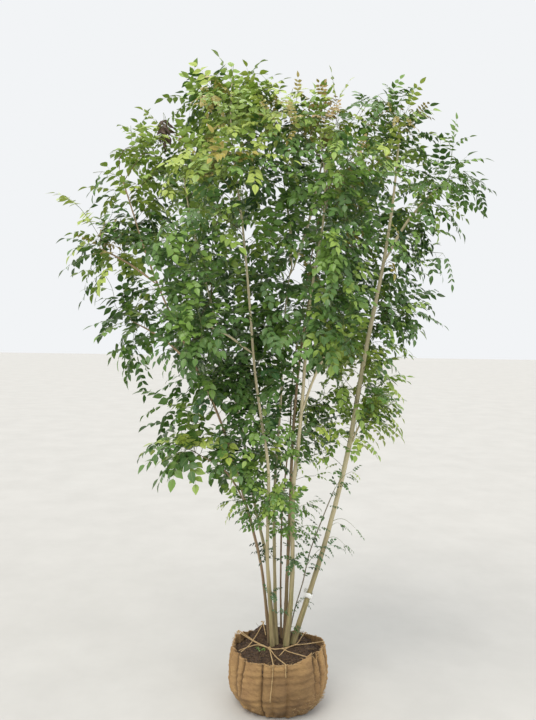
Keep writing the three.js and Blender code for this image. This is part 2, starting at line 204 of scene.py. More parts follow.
def woven_jute():
    """Jute burlap: a coarse plain weave of hairy golden yarn, matt, with darker damp and soiled patches, and
    painted shade.

    The real yarns lie about 2 mm apart, which is too fine to show, so they are drawn 4 mm apart.
    """
    material, tree = start_material("jute_burlap", Roughness=0.93)
    weave_map = add(tree, "ShaderNodeUVMap", uv_map="weave").outputs[0]
    parts = add(tree, "ShaderNodeSeparateXYZ", {"Vector": weave_map})
    turn = 2 * math.pi / (2 * YARN_PITCH)
    waves = []
    for axis in ("X", "Y"):
        phase = add(tree, "ShaderNodeMath", {FIRST: parts.outputs[axis], SECOND: turn}, operation="MULTIPLY")
        waves.append(add(tree, "ShaderNodeMath", {FIRST: phase.outputs[0]}, operation="SINE").outputs[0])
    upright, level = [
        add(tree, "ShaderNodeMath", {FIRST: wave}, operation="ABSOLUTE").outputs[0] for wave in waves
    ]
    checks = add(tree, "ShaderNodeMath", {FIRST: waves[0], SECOND: waves[1]}, operation="MULTIPLY").outputs[0]
    over = add(tree, "ShaderNodeMapRange", {"Value": checks, "From Min": -0.2, "From Max": 0.2}).outputs[0]
    height = add(
        tree, "ShaderNodeMix", {MIX_FACTOR: over, MIX_LOW: upright, MIX_HIGH: level}, data_type="FLOAT"
    ).outputs[0]
    place = add(tree, "ShaderNodeTexCoord").outputs["Object"]
    stains = add(
        tree, "ShaderNodeTexNoise",
        {"Vector": place, "Scale": STAINS_PER_METRE, "Detail": 5.0, "Roughness": 0.6},
    ).outputs[0]
    slub_place = add(tree, "ShaderNodeMapping", {"Vector": place, "Scale": SLUBS_PER_METRE}).outputs[0]
    slubs = add(tree, "ShaderNodeTexNoise", {"Vector": slub_place, "Scale": 1.0, "Detail": 3.0}).outputs[0]
    low = add(tree, "ShaderNodeSeparateXYZ", {"Vector": place}).outputs["Z"]
    stained, soiled = [
        add(tree, "ShaderNodeMapRange", {"Value": ruler, "From Min": start, "From Max": full}).outputs[0]
        for ruler, start, full in ((stains, 0.38, 0.68), (low, 0.1, 0.0))
    ]
    patches = add(tree, "ShaderNodeMath", {FIRST: soiled, SECOND: stained}, operation="MULTIPLY").outputs[0]
    # The real damp patch, and painted shade in the grooves, the pleats, inside the rim and under the ball
    crease = add(tree, "ShaderNodeAttribute", attribute_name="crease").outputs["Fac"]
    layers = (
        (stained, 0.0, 1.0, 1.0, JUTE_TAN),
        (slubs, 0.45, 0.75, 0.55, JUTE_BROWN),
        # Painted shade: darker where the weave dips between the yarns
        (height, 0.55, 0.1, 0.6, JUTE_WEAVE_SHADE),
        (patches, 0.0, 1.0, 0.5, SOIL_BROWN),
        (crease, 0.0, 1.0, 1.0, DAMP_AND_SHADE_BROWN),
    )
    finish_surface(tree, lay_colours(tree, JUTE_GOLD, layers), height, 0.7, 0.0012)
    return material


def mottled(name, light, dark, grain, roughness=0.9, depth=0.001):
    """A matt stuff in two mottled tones: grain is the size of its spots in metres, and depth their relief."""
    material, tree = start_material(name, Roughness=roughness)
    place = add(tree, "ShaderNodeTexCoord").outputs["Object"]
    spots = add(
        tree, "ShaderNodeTexNoise",
        {"Vector": place, "Scale": 1 / grain, "Detail": 6.0, "Roughness": 0.65},
    ).outputs[0]
    surface = lay_colours(tree, light, [(spots, 0.36, 0.64, 1.0, dark)])
    finish_surface(tree, surface, spots, 0.6, depth)
    return material


YARN_PITCH = 0.004
JUTE_GOLD = "#c6a06a"
JUTE_TAN = "#9f7d54"
JUTE_BROWN = "#80623f"
# Painted shade where the weave dips between the yarns
JUTE_WEAVE_SHADE = "#5c452c"
SOIL_BROWN = "#4a3a2a"
# The real damp, and painted shade in grooves, pleats, inside the rim and under the ball
DAMP_AND_SHADE_BROWN = "#4c3822"

JUTE = woven_jute()
# Jute twine: loosely twisted yarn, paler than the cloth and hairy, so quite matt
TWINE = mottled("jute_twine", "#ccb286", "#a5875a", 0.004)
# Loam: moist, dark and crumbly, with no shine
LOAM = mottled("moist_loam", "#55412f", "#271c13", 0.012, roughness=0.95, depth=0.004)
CRUMBS = mottled("loam_crumbs", "#604a35", "#2e2117", 0.02, roughness=0.95)
# Straw and cut roots: dry, fibrous and pale
STRAW = mottled("dry_straw", "#8f7853", "#5d4831", 0.01)
# Bark: the base, the streaks, the green film, the pores and the upper part, paler in its own tone and with
# painted light, with that part's share
PALE_BARK = young_bark("pale_ash_bark", "#a99b70", "#817453", "#78794d", "#c3b68d", "#dfd2ae", 0.75)
RED_BARK = young_bark("red_ash_bark", "#96805f", "#6c5742", "#746f4c", "#b09a78", "#bea182", 0.6)
# The youngest stem is still grey all the way up
GREY_BARK = young_bark("grey_ash_bark", "#8d8474", "#6b6355", "#737058", "#aaa08c", "#9a9282", 0.5)
# Twigs: the bark of last year's wood, brown and smooth, and the green skin of this year's
TWIG_BARK = mottled("twig_bark", "#75603f", "#4b3c2b", 0.015, roughness=0.7, depth=0.0004)
GREEN_SHOOT = waxy_leaf("green_shoot", "#6f7844", roughness=0.55)
LEAF_STALK = waxy_leaf("leaf_stalk", "#808a54", roughness=0.55)
# Midribs: the blade's raised pale vein, a little duller than the wax beside it
MIDRIB = waxy_leaf("leaf_midrib", "#7f9056", roughness=0.6)
# Plant tie: soft white vinyl tape, smooth and slightly glossy
WHITE_TAPE = mottled("white_tape", "#f4f4f0", "#e2e2dc", 0.01, roughness=0.4, depth=0.0002)

# The darker tints go to shaded sprays as painted shade, the lighter ones mostly to the top and the edge as
# painted light
# Leaf tints, each with its slot in the record
TINTS = {
    "bronze": ("#a39550", "leaf_young"),
    "rosy": ("#a8905c", "leaf_young"),
    "lime": ("#a9bb55", "leaf_young"),
    "spring": ("#8faa4c", "leaf_young"),
    "bright": ("#71933f", "leaf_bright"),
    "fresh": ("#5f833c", "leaf_bright"),
    "mid": ("#52743a", "leaf_mid"),
    "cool": ("#44683f", "leaf_mid"),
    "deep": ("#3f5d2f", "leaf_deep"),
    "dark": ("#2a4222", "leaf_deep"),
    "yellow": ("#a89a4a", "leaf_young"),
    "withered": ("#553d34", "leaf_deep"),
}


# Joined meshes from arrays

class Gather:
    """Collects the points and faces of many small parts that become one joined piece."""

    def __init__(self):
        self.points = []
        self.quads = []
        self.triangles = []
        self.count = 0

    def add(self, points, quads=(), triangles=()):
        self.points.append(np.asarray(points, float).reshape(-1, 3))
        self.quads.append(np.asarray(quads, int).reshape(-1, 4) + self.count)
        self.triangles.append(np.asarray(triangles, int).reshape(-1, 3) + self.count)
        self.count += len(self.points[-1])

    def piece(self, name, material):
        points = np.concatenate(self.points)
        quads = np.concatenate(self.quads)
        triangles = np.concatenate(self.triangles)
        corners = np.concatenate([quads.ravel(), triangles.ravel()])
        sizes = np.concatenate([np.full(len(quads), 4), np.full(len(triangles), 3)])
        mesh = bpy.data.meshes.new(name)
        mesh.vertices.add(len(points))
        mesh.vertices.foreach_set("co", points.ravel())
        mesh.loops.add(len(corners))
        mesh.loops.foreach_set("vertex_index", corners)
        mesh.polygons.add(len(sizes))
        mesh.polygons.foreach_set("loop_start", np.cumsum(sizes) - sizes)
        mesh.update(calc_edges=True)
        mesh.validate()
        mesh.materials.append(material)
        mesh.polygons.foreach_set("use_smooth", np.full(len(sizes), True))
        return show(name, mesh)


def finish_piece(piece, nodes=()):
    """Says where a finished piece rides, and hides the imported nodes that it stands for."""
    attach(piece, "root")
    if nodes:
        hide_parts(*nodes)


def ways_about(count):
    """The angles of places spread evenly round a ring."""
    return 2 * math.pi * np.arange(count) / count


def unit(vector):
    return vector / max(np.linalg.norm(vector), 1e-9)


def ripple(places, size, seed, waves=12):
    """A smooth random field of about one either way, with lumps about size metres across."""
    rng = np.random.default_rng(seed)
    directions = rng.normal(size=(waves, 3))
    directions /= np.linalg.norm(directions, axis=1)[:, None]
    directions *= math.pi / size * rng.uniform(0.6, 1.5, (waves, 1))
    phases = rng.uniform(0, 2 * math.pi, waves)
    return np.sin(places @ directions.T + phases).sum(-1) * math.sqrt(2 / waves)


def lumps(places, sizes):
    """Fields of smooth lumps added up, each with its height, width and seed."""
    return sum(height * ripple(places, width, seed) for height, width, seed in sizes)


# Steps between two chosen points of a smooth path, before it is evened out
CURVE_STEPS = 12


def smooth_path(points, spacing):
    """A smooth path through chosen points, with places an even spacing apart."""
    points = np.asarray(points, float)
    padded = np.concatenate([[2 * points[0] - points[1]], points, [2 * points[-1] - points[-2]]])
    shares = np.linspace(0, 1, CURVE_STEPS, endpoint=False)[:, None]
    stretches = []
    for a, b, c, d in zip(padded, padded[1:], padded[2:], padded[3:]):
        bend = 2 * a - 5 * b + 4 * c - d
        twist = 3 * b - a - 3 * c + d
        stretches.append(b + 0.5 * ((c - a) * shares + bend * shares**2 + twist * shares**3))
    return even_path(np.concatenate([*stretches, points[-1:]]), spacing)


def even_path(points, spacing):
    """The same path with its places an even spacing apart."""
    lengths = np.linalg.norm(np.diff(points, axis=0), axis=1)
    run = np.concatenate([[0], np.cumsum(lengths)])
    marks = np.linspace(0, run[-1], max(2, round(run[-1] / spacing) + 1))
    return np.stack([np.interp(marks, run, points[:, axis]) for axis in range(3)], axis=1)


def path_length(path):
    return np.concatenate([[0], np.cumsum(np.linalg.norm(np.diff(path, axis=0), axis=1))])


def path_frames(path):
    """The direction of a path at each place, and two directions square to it that don't twist."""
    along = np.gradient(path, axis=0)
    along /= np.linalg.norm(along, axis=1)[:, None]
    helper = np.array([1.0, 0, 0]) if abs(along[0][0]) < 0.7 else np.array([0, 1.0, 0])
    side = np.cross(along[0], helper)
    sides = []
    for direction in along:
        side = unit(side - direction * side.dot(direction))
        sides.append(side)
    across = np.array(sides)
    return along, across, np.cross(along, across)


def tube_faces(rings, sides):
    """The faces of a closed tube: quads round its side, and a fan of triangles at each end."""
    ring = np.arange(rings - 1)[:, None] * sides
    step = np.arange(sides)[None]
    following = (step + 1) % sides
    quads = np.stack([ring + step, ring + following, ring + sides + following, ring + sides + step], axis=2)
    foot, tip = rings * sides, rings * sides + 1
    last = (rings - 1) * sides
    step, following = step[0], following[0]
    bottom = np.stack([np.full(sides, foot), following, step], axis=1)
    top = np.stack([np.full(sides, tip), last + step, last + following], axis=1)
    return quads.reshape(-1, 4), np.concatenate([bottom, top])


def add_tube(gather, path, radii, sides):
    """Adds a closed tube round a path; radii has a number for each place, or for each place and side."""
    _, across, up = path_frames(path)
    angles = ways_about(sides)
    ring = across[:, None] * np.cos(angles)[None, :, None] + up[:, None] * np.sin(angles)[None, :, None]
    reach = np.broadcast_to(np.asarray(radii, float).reshape(len(path), -1), (len(path), sides))
    points = path[:, None] + ring * reach[..., None]
    quads, triangles = tube_faces(len(path), sides)
    gather.add(np.concatenate([points.reshape(-1, 3), path[:1], path[-1:]]), quads, triangles)


# Limbs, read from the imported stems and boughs

STEM_SLICES = 60
BOUGH_SLICES = 24
FIRST_SLICE = 0.0002
LAST_SLICE = 0.004
LEAST_LEAN = 0.3
SMOOTHING_ROUNDS = 4
LIMB_STEP = 0.008
LIMB_SPACING = 0.02
# How many steps below its joint a bough starts inside its stem
JOINT_STEPS = 3


def node_triangles(name):
    mesh = NODES[name].data
    places = np.empty(len(mesh.vertices) * 3)
    mesh.vertices.foreach_get("co", places)
    mesh.calc_loop_triangles()
    corners = np.empty(len(mesh.loop_triangles) * 3, int)
    mesh.loop_triangles.foreach_get("vertices", corners)
    return places.reshape(-1, 3)[corners].reshape(-1, 3, 3)


def slice_limb(triangles, heights, level):
    """The middle of the cut that a plane makes through a limb, and how far its edge stands from that."""
    crossings = []
    for first, second in ((0, 1), (1, 2), (2, 0)):
        low, high = heights[:, first] - level, heights[:, second] - level
        cut = (low < 0) != (high < 0)
        share = (low[cut] / (low[cut] - high[cut]))[:, None]
        crossings.append(triangles[cut, first] * (1 - share) + triangles[cut, second] * share)
    points = np.concatenate(crossings)
    middle = points.mean(0)
    return middle, np.linalg.norm(points - middle, axis=1).mean()


def read_limb(name, axis, slices):
    """A limb's centre line and radius, from planes square to its main direction."""
    triangles = node_triangles(name)
    heights = triangles @ axis
    low, high = heights.min(), heights.max()
    levels = np.linspace(low + FIRST_SLICE, high - LAST_SLICE, slices)
    cuts = [slice_limb(triangles, heights, level) for level in levels]
    middles = np.array([middle for middle, _ in cuts])
    reaches = np.array([reach for _, reach in cuts])
    lean = np.abs(path_frames(middles)[0] @ axis)
    radii = reaches * 2 / (1 + 1 / np.maximum(lean, LEAST_LEAN))
    for _ in range(SMOOTHING_ROUNDS):
        middles[1:-1] = 0.5 * middles[1:-1] + 0.25 * (middles[:-2] + middles[2:])
        radii[1:-1] = 0.5 * radii[1:-1] + 0.25 * (radii[:-2] + radii[2:])
    return middles, radii


def resample(path, radii, spacing):
    run = path_length(path)
    fine = even_path(path, spacing)
    marks = np.linspace(0, run[-1], len(fine))
    return fine, np.interp(marks, run, radii)


def main_direction(name):
    places = node_triangles(name).reshape(-1, 3)
    centred = places - places.mean(0)
    direction = np.linalg.svd(centred, full_matrices=False)[2][0]
    return direction if direction[2] > 0 else -direction


# The right stem hardly narrows up to its fork, so it's drawn fuller than packed there: between which heights
# that grows, and to which share more
FULLER_STEM = "stem_right"
FULLER_FROM = 0.7
FULLER_TO = 1.3
FULLER_SHARE = 0.35


def read_stems():
    stems = {name: resample(*read_limb(name, UP, STEM_SLICES), LIMB_STEP) for name in STEM_NAMES}
    path, radii = stems[FULLER_STEM]
    radii *= 1 + FULLER_SHARE * np.clip((path[:, 2] - FULLER_FROM) / (FULLER_TO - FULLER_FROM), 0, 1)
    return stems


def nearest_stem(stems, place):
    """The path of the stem that passes closest to a place, how far off it is, and its closest step."""
    gaps = [(np.linalg.norm(path - place, axis=1), path) for path, _ in stems.values()]
    gap, path = min(gaps, key=lambda row: row[0].min())
    return path, gap.min(), int(gap.argmin())


def read_boughs(stems):
    """Each bough starts inside the stem that bears it, a little below where it leaves the bark."""
    boughs = {}
    for name in BOUGH_NAMES:
        path, radii = read_limb(name, main_direction(name), BOUGH_SLICES)
        if nearest_stem(stems, path[-1])[1] < nearest_stem(stems, path[0])[1]:
            path, radii = path[::-1], radii[::-1]
        bearer, _, joint = nearest_stem(stems, path[0])
        path = np.concatenate([[bearer[max(0, joint - JOINT_STEPS)]], path])
        radii = np.concatenate([[radii[0]], radii])
        boughs[name] = resample(path, radii, LIMB_STEP)
    return boughs


STEMS = read_stems()
BOUGHS = read_boughs(STEMS)
LIMBS = {**STEMS, **BOUGHS}


# Bark with its relief: long ridges, a swelling with two leaf scars at each old joint, and a flared foot

BARK_SIDES = 20
# The relief is a field of lumps read on a thin rod, which is shortened so that the lumps lengthen into ridges
RIDGE_ROD = 0.01
RIDGE_STRETCH = 0.09
RIDGE_WIDTH = 0.0065
RIDGE_DEPTH = 0.045
FINE_RIDGE_WIDTH = 0.0025
FINE_RIDGE_SHARE = 0.4
SCAR_SWELLING = 0.13
# The share of the swelling that goes all round: the rest stands out at the two scars
SCAR_RING = 0.4
SCAR_LENGTH = 0.007
JOINT_SPACING = (0.11, 0.2)
TIP_TAPER = 0.09
TIP_SHARE = 0.4


def add_bark(gather, places, path, radii, seed):
    rng = np.random.default_rng(seed)
    run = path_length(path)
    angles = ways_about(BARK_SIDES)
    around = np.stack(np.broadcast_arrays(
        np.cos(angles)[None] * RIDGE_ROD, np.sin(angles)[None] * RIDGE_ROD, run[:, None] * RIDGE_STRETCH
    ), axis=2)
    relief = 1 + RIDGE_DEPTH * ripple(around, RIDGE_WIDTH, seed)
    relief += FINE_RIDGE_SHARE * RIDGE_DEPTH * ripple(around, FINE_RIDGE_WIDTH, seed + 1)
    joint = rng.uniform(*JOINT_SPACING)
    turn = rng.uniform(0, math.pi)
    while joint < run[-1]:
        swell = np.exp(-(((run - joint) / SCAR_LENGTH) ** 2))[:, None]
        scars = SCAR_RING + (1 - SCAR_RING) * np.abs(np.cos(angles - turn))[None] ** 3
        relief += SCAR_SWELLING * swell * scars
        joint += rng.uniform(*JOINT_SPACING)
        turn += math.pi / 2
    reach = radii[:, None] * relief
    add_tube(gather, path, reach, BARK_SIDES)
    upward = np.repeat(run[:, None], BARK_SIDES, 1)
    local = np.stack([reach * np.cos(angles), reach * np.sin(angles), upward], 2)
    ends = np.array([[0, 0, run[0]], [0, 0, run[-1]]])
    places.append(np.concatenate([local.reshape(-1, 3), ends]))


BARK_SEED = 11
BARKS = {"pale_bark": PALE_BARK, "red_bark": RED_BARK}
YOUNGEST_STEM = "stem_whip"


def clothe_limbs():
    """One piece of bark for each stem and bough, with a map along it that its streaks follow."""
    slots = {row["node"]: row["material_slot"] for row in frame["record"]["subparts"]}
    for order, (name, (path, radii)) in enumerate(LIMBS.items()):
        gather = Gather()
        places = []
        run = path_length(path)
        thinning = np.minimum(1, TIP_SHARE + (run[-1] - run) / TIP_TAPER)
        add_bark(gather, places, path, radii * thinning, order + BARK_SEED)
        slot = slots[name]
        bark = GREY_BARK if name == YOUNGEST_STEM else BARKS[slot]
        piece = gather.piece("bark_" + name, bark)
        attribute = piece.data.attributes.new("along_limb", "FLOAT_VECTOR", "POINT")
        attribute.data.foreach_set("vector", np.concatenate(places).ravel())
        finish_piece(piece, [name])


clothe_limbs()


# Shoots: seeded places inside the masses that branches grow out to

# How each mass is filled: how far apart its shoots stand and how far back from its outline, in metres, and
# the size and breadth of its leaves beside the usual
USUAL_HABIT = (0.08, 0.06, 0.79, 1.0)
HABITS = {
    "top_left": (0.078, 0.06, 0.92, 1.0),
    "top_sprig": (0.07, 0.04, 0.92, 1.0),
    "top_middle": (0.078, 0.055, 0.8, 0.95),
    "top_right": (0.078, 0.055, 0.78, 0.95),
    "upper_front_right": (0.08, 0.06, 0.73, 1.0),
    "middle_front_right": (0.08, 0.06, 0.75, 1.0),
    "middle_right": (0.074, 0.055, 0.77, 1.0),
    "upper_heart": (0.095, 0.05, 0.9, 1.05),
    "heart": (0.095, 0.04, 0.9, 1.05),
    "lower_heart": (0.066, 0.03, 0.82, 1.05),
    "left_shoulder": (0.075, 0.035, 0.95, 1.0),
    "far_left": (0.075, 0.035, 0.95, 1.1),
    "right_shoulder": (0.084, 0.055, 0.76, 0.95),
    "right_hanging": (0.16, 0.03, 0.8, 0.95),
    "skirt_left": (0.085, 0.05, 0.9, 1.15),
    "wing": (0.075, 0.065, 0.98, 1.22),
    "skirt_front": (0.054, 0.03, 0.7, 1.1),
    "skirt_back": (0.062, 0.03, 0.74, 1.1),
    "skirt_right": (0.056, 0.03, 0.7, 1.1),
    "hem": (0.06, 0.028, 0.58, 1.15),
    "hem_right": (0.1, 0.025, 0.45, 1.15),
    "lower_left": (0.078, 0.045, 0.88, 1.1),
    "lower_front_left": (0.078, 0.045, 0.78, 1.1),
    "lower_front_right": (0.066, 0.035, 0.78, 1.05),
    "lower_back_right": (0.072, 0.035, 0.78, 1.05),
    "lower_back_left": (0.085, 0.045, 0.84, 1.05),
}
HANG = 0.6
HEART_REACH = 0.2
SHOOT_SEED = 41
LITRES_IN_CUBIC_METRE = 1000
TRIES_PER_LITRE = 30
TRIES_IN_THICKET = 400
CROWN_HEART = np.array([-0.03, 0.02, 1.65])
LEAF_REACH = 0.165
LIMB_TIP_REACH = 0.05
LIMB_TIP_STEPS = 8
OVERHANG = 0.012
STRAY_SHARE = 0.1

# Leaf tips on the outline that the photograph shows, in metres
OUTLINE_TIPS = {
    "top_left_sprig": (-0.44, 0.05, 2.56),
    "top_left_middle": (-0.36, 0.04, 2.54),
    "top_left_notch": (-0.3, 0.03, 2.47),
    "top_first": (-0.2, 0.05, 2.58),
    "top_second": (-0.15, 0.02, 2.6),
    "top_back": (-0.2, 0.14, 2.57),
    "top_sprig": (-0.14, 0.05, 2.6),
    "top_front": (-0.22, -0.09, 2.53),
    "top_front_low": (-0.2, -0.12, 2.46),
    "top_fall": (-0.02, 0.03, 2.5),
    "top_middle": (0.045, 0.0, 2.41),
    "top_low": (0.15, -0.03, 2.36),
    "top_rise": (0.3, 0.02, 2.37),
    "top_right": (0.416, 0.02, 2.4),
    "top_right_shoulder": (0.5, 0.0, 2.44),
    "right_point": (0.596, 0.02, 2.37),
    "right_notch": (0.64, 0.0, 2.24),
    "far_right": (0.79, 0.0, 2.165),
    "far_right_low": (0.8, -0.03, 2.08),
    "right_edge": (0.745, 0.0, 2.01),
    "right_low": (0.6, 0.0, 1.53),
    "skirt_right": (0.455, 0.0, 1.02),
    "skirt_right_upper": (0.48, 0.0, 1.15),
    "left_shoulder": (-0.53, 0.0, 2.37),
    "left_bump": (-0.625, 0.0, 2.255),
    "left_high": (-0.79, -0.05, 2.1),
    "left_middle": (-0.7, -0.03, 2.15),
    "far_left": (-0.85, -0.04, 1.876),
    "far_left_low": (-0.8, -0.02, 1.78),
    "left_low": (-0.79, -0.04, 1.605),
    "left_skirt": (-0.73, 0.0, 1.4),
    "wing_tip": (-0.57, 0.0, 1.07),
    "wing_top": (-0.5, 0.0, 1.19),
    "wing_hem": (-0.382, 0.0, 0.84),
}

# Leaves that hang clear of the crown: where they sit
HANGING_LEAVES = {
    "left_hanging": (-0.594, 0.0, 1.385),
    "right_hanging": (0.62, -0.03, 1.8),
}
WITHERED_CLUMP = (-0.478, -0.02, 2.33)

# Boxes of thick growth at the top and where masses meet: the low and the high corner, and the shoots' spacing
THICKETS = {
    "top": ((-0.3, -0.04, 2.36), (-0.1, 0.12, 2.47), 0.068),
    "wing": ((-0.48, -0.06, 0.97), (-0.3, 0.06, 1.11), 0.078),
    "left_join": ((-0.5, -0.08, 1.36), (-0.26, 0.12, 1.76), 0.13),
    "upper_right": ((0.06, -0.1, 2.14), (0.42, 0.08, 2.3), 0.09),
    "upper_left": ((-0.55, -0.1, 2.04), (-0.26, 0.08, 2.24), 0.09),
    "behind_right": ((0.22, 0.03, 1.5), (0.55, 0.2, 2.0), 0.1),
    "skirt_middle": ((0.08, -0.08, 1.06), (0.32, 0.08, 1.2), 0.075),
    "back_join": ((-0.25, 0.16, 1.5), (0.25, 0.38, 2.15), 0.13),
    "front_join": ((-0.25, -0.3, 1.5), (0.2, -0.18, 2.15), 0.14),
    "far_left": ((-0.78, -0.1, 1.7), (-0.63, 0.06, 1.95), 0.085),
    "top_right": ((0.33, -0.06, 2.3), (0.5, 0.1, 2.4), 0.07),
    "right_shoulder": ((0.48, -0.1, 2.02), (0.64, 0.1, 2.2), 0.085),
    "beside_heart": ((-0.06, -0.2, 1.5), (0.08, 0.1, 1.95), 0.09),
    "right_and_skirt": ((0.2, -0.12, 1.22), (0.4, 0.1, 1.45), 0.07),
    "heart_and_skirt": ((-0.33, -0.16, 1.26), (0.04, 0.08, 1.38), 0.07),
    "skirt_and_hem": ((-0.25, -0.1, 0.93), (0.02, 0.08, 1.03), 0.055),
    "top_and_front": ((-0.3, -0.3, 2.2), (0.3, -0.1, 2.32), 0.09),
    "beside_pale": ((0.05, -0.1, 1.0), (0.14, 0.05, 1.12), 0.06),
}

# The highest that a leaf's middle is seen, at the plant's plane
CROWN_TOP = 2.58

# Openings through the leaves, as the photograph shows them: the middle (x, z) at the plant's plane, the radius
OPENINGS = {
    "over_the_right": (0.43, 2.53, 0.04),
    "right_of_heart": (0.03, 1.76, 0.05),
    "upper_left": (-0.236, 2.06, 0.045),
    "middle_left": (-0.135, 1.885, 0.04),
    "low_left": (-0.316, 1.407, 0.04),
    "left_edge": (-0.68, 1.68, 0.045),
    "left_fork": (-0.5, 1.42, 0.04),
    "wing_root": (-0.42, 1.3, 0.045),
    "under_right": (0.111, 1.286, 0.06),
    "right": (0.427, 1.813, 0.045),
    "stems_right": (0.3, 1.36, 0.04),
    "right_lower_edge": (0.665, 1.83, 0.075),
    "far_left_upper": (-0.87, 1.7, 0.06),
    "far_left_lower": (-0.83, 1.57, 0.07),
    "far_left_foot": (-0.77, 1.47, 0.05),
    "over_wing": (-0.5, 1.2, 0.06),
    "wing_end": (-0.6, 1.11, 0.06),
}


class Mass:
    """One packed mass of leaves, with a test for what lies inside it."""

    def __init__(self, name):
        self.name = name
        triangles = node_triangles(name)
        corners = [tuple(corner) for corner in triangles.reshape(-1, 3)]
        faces = [(3 * face, 3 * face + 1, 3 * face + 2) for face in range(len(triangles))]
        self.tree = BVHTree.FromPolygons(corners, faces)
        self.low = triangles.min((0, 1))
        self.high = triangles.max((0, 1))
        habit = HABITS.get(name.removeprefix("leaves_"), USUAL_HABIT)
        self.spacing, self.inset, self.leaf_size, self.breadth = habit

    def depth(self, place):
        """How far a place lies inside the mass: less than nothing when it is outside."""
        surface, normal, _, distance = self.tree.find_nearest(Vector(place))
        return distance if (Vector(place) - surface).dot(normal) < 0 else -distance


class Shoot:
    """A place that a branch grows to, with the mass that it belongs to and the kind of leaves it bears."""

    def __init__(self, place, mass=None, kind="leafy"):
        self.place = np.array(place)
        self.mass = mass or max(MASSES, key=lambda mass: mass.depth(place))
        self.kind = kind


def ways_round():
    """Fourteen directions spread evenly round a point."""
    axes = [np.array(way, float) for way in ((1, 0, 0), (0, 1, 0), (0, 0, 1))]
    corners = [np.array([x, y, z], float) for x in (-1, 1) for y in (-1, 1) for z in (-1, 1)]
    return [sign * way for way in axes for sign in (-1, 1)] + [unit(corner) for corner in corners]


MASSES = [Mass(name) for name in MASS_NAMES]
LOWS = np.array([mass.low for mass in MASSES])
HIGHS = np.array([mass.high for mass in MASSES])
WAYS = ways_round()
TOUCHING = 0.012


def masses_near(place, reach):
    near = ((place > LOWS - reach) & (place < HIGHS + reach)).all(1)
    return [MASSES[index] for index in np.flatnonzero(near)]


def leafy_at(place, near):
    return any(mass.depth(place) > -TOUCHING for mass in near)


def share_inside(place, reach):
    """The share of the directions round a place in which there are still leaves at that reach."""
    near = masses_near(place, reach + TOUCHING)
    return sum(leafy_at(place + reach * way, near) for way in WAYS) / len(WAYS)


def room_to_hang(place, inset):
    """True where the crown goes on all round a place for a leaf's reach: less above it, and more below."""
    near = masses_near(place, 2 * inset)
    return all(leafy_at(place + inset * (1 - HANG * way[2]) * way, near) for way in WAYS)


def named_shoots():
    """The shoots with a place of their own: the outline's, the hanging leaves' and the limbs' ends."""
    shoots = []
    for tip in OUTLINE_TIPS.values():
        nearest = Shoot(tip).mass
        reach = LEAF_REACH * nearest.leaf_size * unit(np.array(tip) - CROWN_HEART)
        shoots.append(Shoot(np.array(tip) - reach, nearest, "outline"))
    shoots += [Shoot(place, kind="hanging") for place in HANGING_LEAVES.values()]
    shoots.append(Shoot(WITHERED_CLUMP, kind="withered"))
    for name, (path, _) in LIMBS.items():
        if name != YOUNGEST_STEM:
            shoots.append(Shoot(path[-1] + LIMB_TIP_REACH * unit(path[-1] - path[-LIMB_TIP_STEPS])))
    return shoots


def choose_shoots():
    """The named shoots, and seeded ones that stand at least a spacing apart and leave their leaves room."""
    rng = np.random.default_rng(SHOOT_SEED)
    shoots = named_shoots()
    taken = np.array([shoot.place for shoot in shoots])
    for mass in MASSES:
        litres = float(np.prod(mass.high - mass.low)) * LITRES_IN_CUBIC_METRE
        for place in rng.uniform(mass.low, mass.high, (int(litres * TRIES_PER_LITRE), 3)):
            if ((taken - place) ** 2).sum(1).min() < mass.spacing**2 or mass.depth(place) < 0:
                continue
            if room_to_hang(place, mass.inset):
                shoots.append(Shoot(place, mass))
                taken = np.concatenate([taken, place[None]])
    for low, high, spacing in THICKETS.values():
        for place in rng.uniform(low, high, (TRIES_IN_THICKET, 3)):
            if ((taken - place) ** 2).sum(1).min() > spacing**2:
                shoots.append(Shoot(place, kind="thick"))
                taken = np.concatenate([taken, place[None]])
    return shoots


def strays(place):
    """True where a leaf's end would stand clear of every mass."""
    return not any(mass.depth(place) > -OVERHANG for mass in masses_near(place, OVERHANG))


SHOOTS = choose_shoots()


# Branches: they grow in steps from the limbs towards the shoots, and fork where their shoots part

BRANCH_SEED = 7
STEP = 0.02
CLIMB_BIAS = 0.7
AGREEMENT = 0.5
INERTIA = 0.55
LIFT = 0.12
WOBBLE = 0.08
ARRIVAL = 1.3
LOWEST_FORK = 0.6
TWIG_TIP_RADIUS = 0.0009
PIPE_POWER = 1 / 2.3
PARENT_SHARE = 0.7


class Branching:
    """The branch network: places, headings and parents, with the limbs' own places first."""

    def __init__(self):
        self.places = []
        self.headings = []
        self.parents = []
        self.limits = []
        for path, radii in LIMBS.values():
            fine, thickness = resample(path, radii, LIMB_SPACING)
            headings = path_frames(fine)[0]
            for place, heading, radius in zip(fine, headings, thickness):
                if place[2] > LOWEST_FORK:
                    self.add(place, heading, -1, radius * PARENT_SHARE)
        self.limb_places = len(self.places)

    def add(self, place, heading, parent, limit):
        self.places.append(place)
        self.headings.append(heading)
        self.parents.append(parent)
        self.limits.append(limit)
        return len(self.places) - 1


def reach_cost(shoots, places):
    """How dear it is to reach each shoot from each place: its distance, and more if it lies below."""
    gap = shoots[:, None] - places[None]
    length = np.linalg.norm(gap, axis=2) + 1e-9
    return length * (1 + CLIMB_BIAS * (1 - gap[:, :, 2] / length))


def next_step(branching, node, shoots, tries, rng):
    """The next place from a node towards its closest shoot, drawn a little by others the same way."""
    gaps = shoots - branching.places[node]
    distances = np.linalg.norm(gaps, axis=1)
    pulls = gaps / distances[:, None]
    closest = pulls[distances.argmin()]
    if tries > 1:
        return unit(closest)
    together = unit(pulls[pulls @ closest > AGREEMENT].sum(0))
    heading = together + INERTIA * branching.headings[node] + LIFT * UP + rng.normal(0, WOBBLE, 3)
    heading = unit(heading)
    return heading if heading @ closest > AGREEMENT else unit(heading + closest)


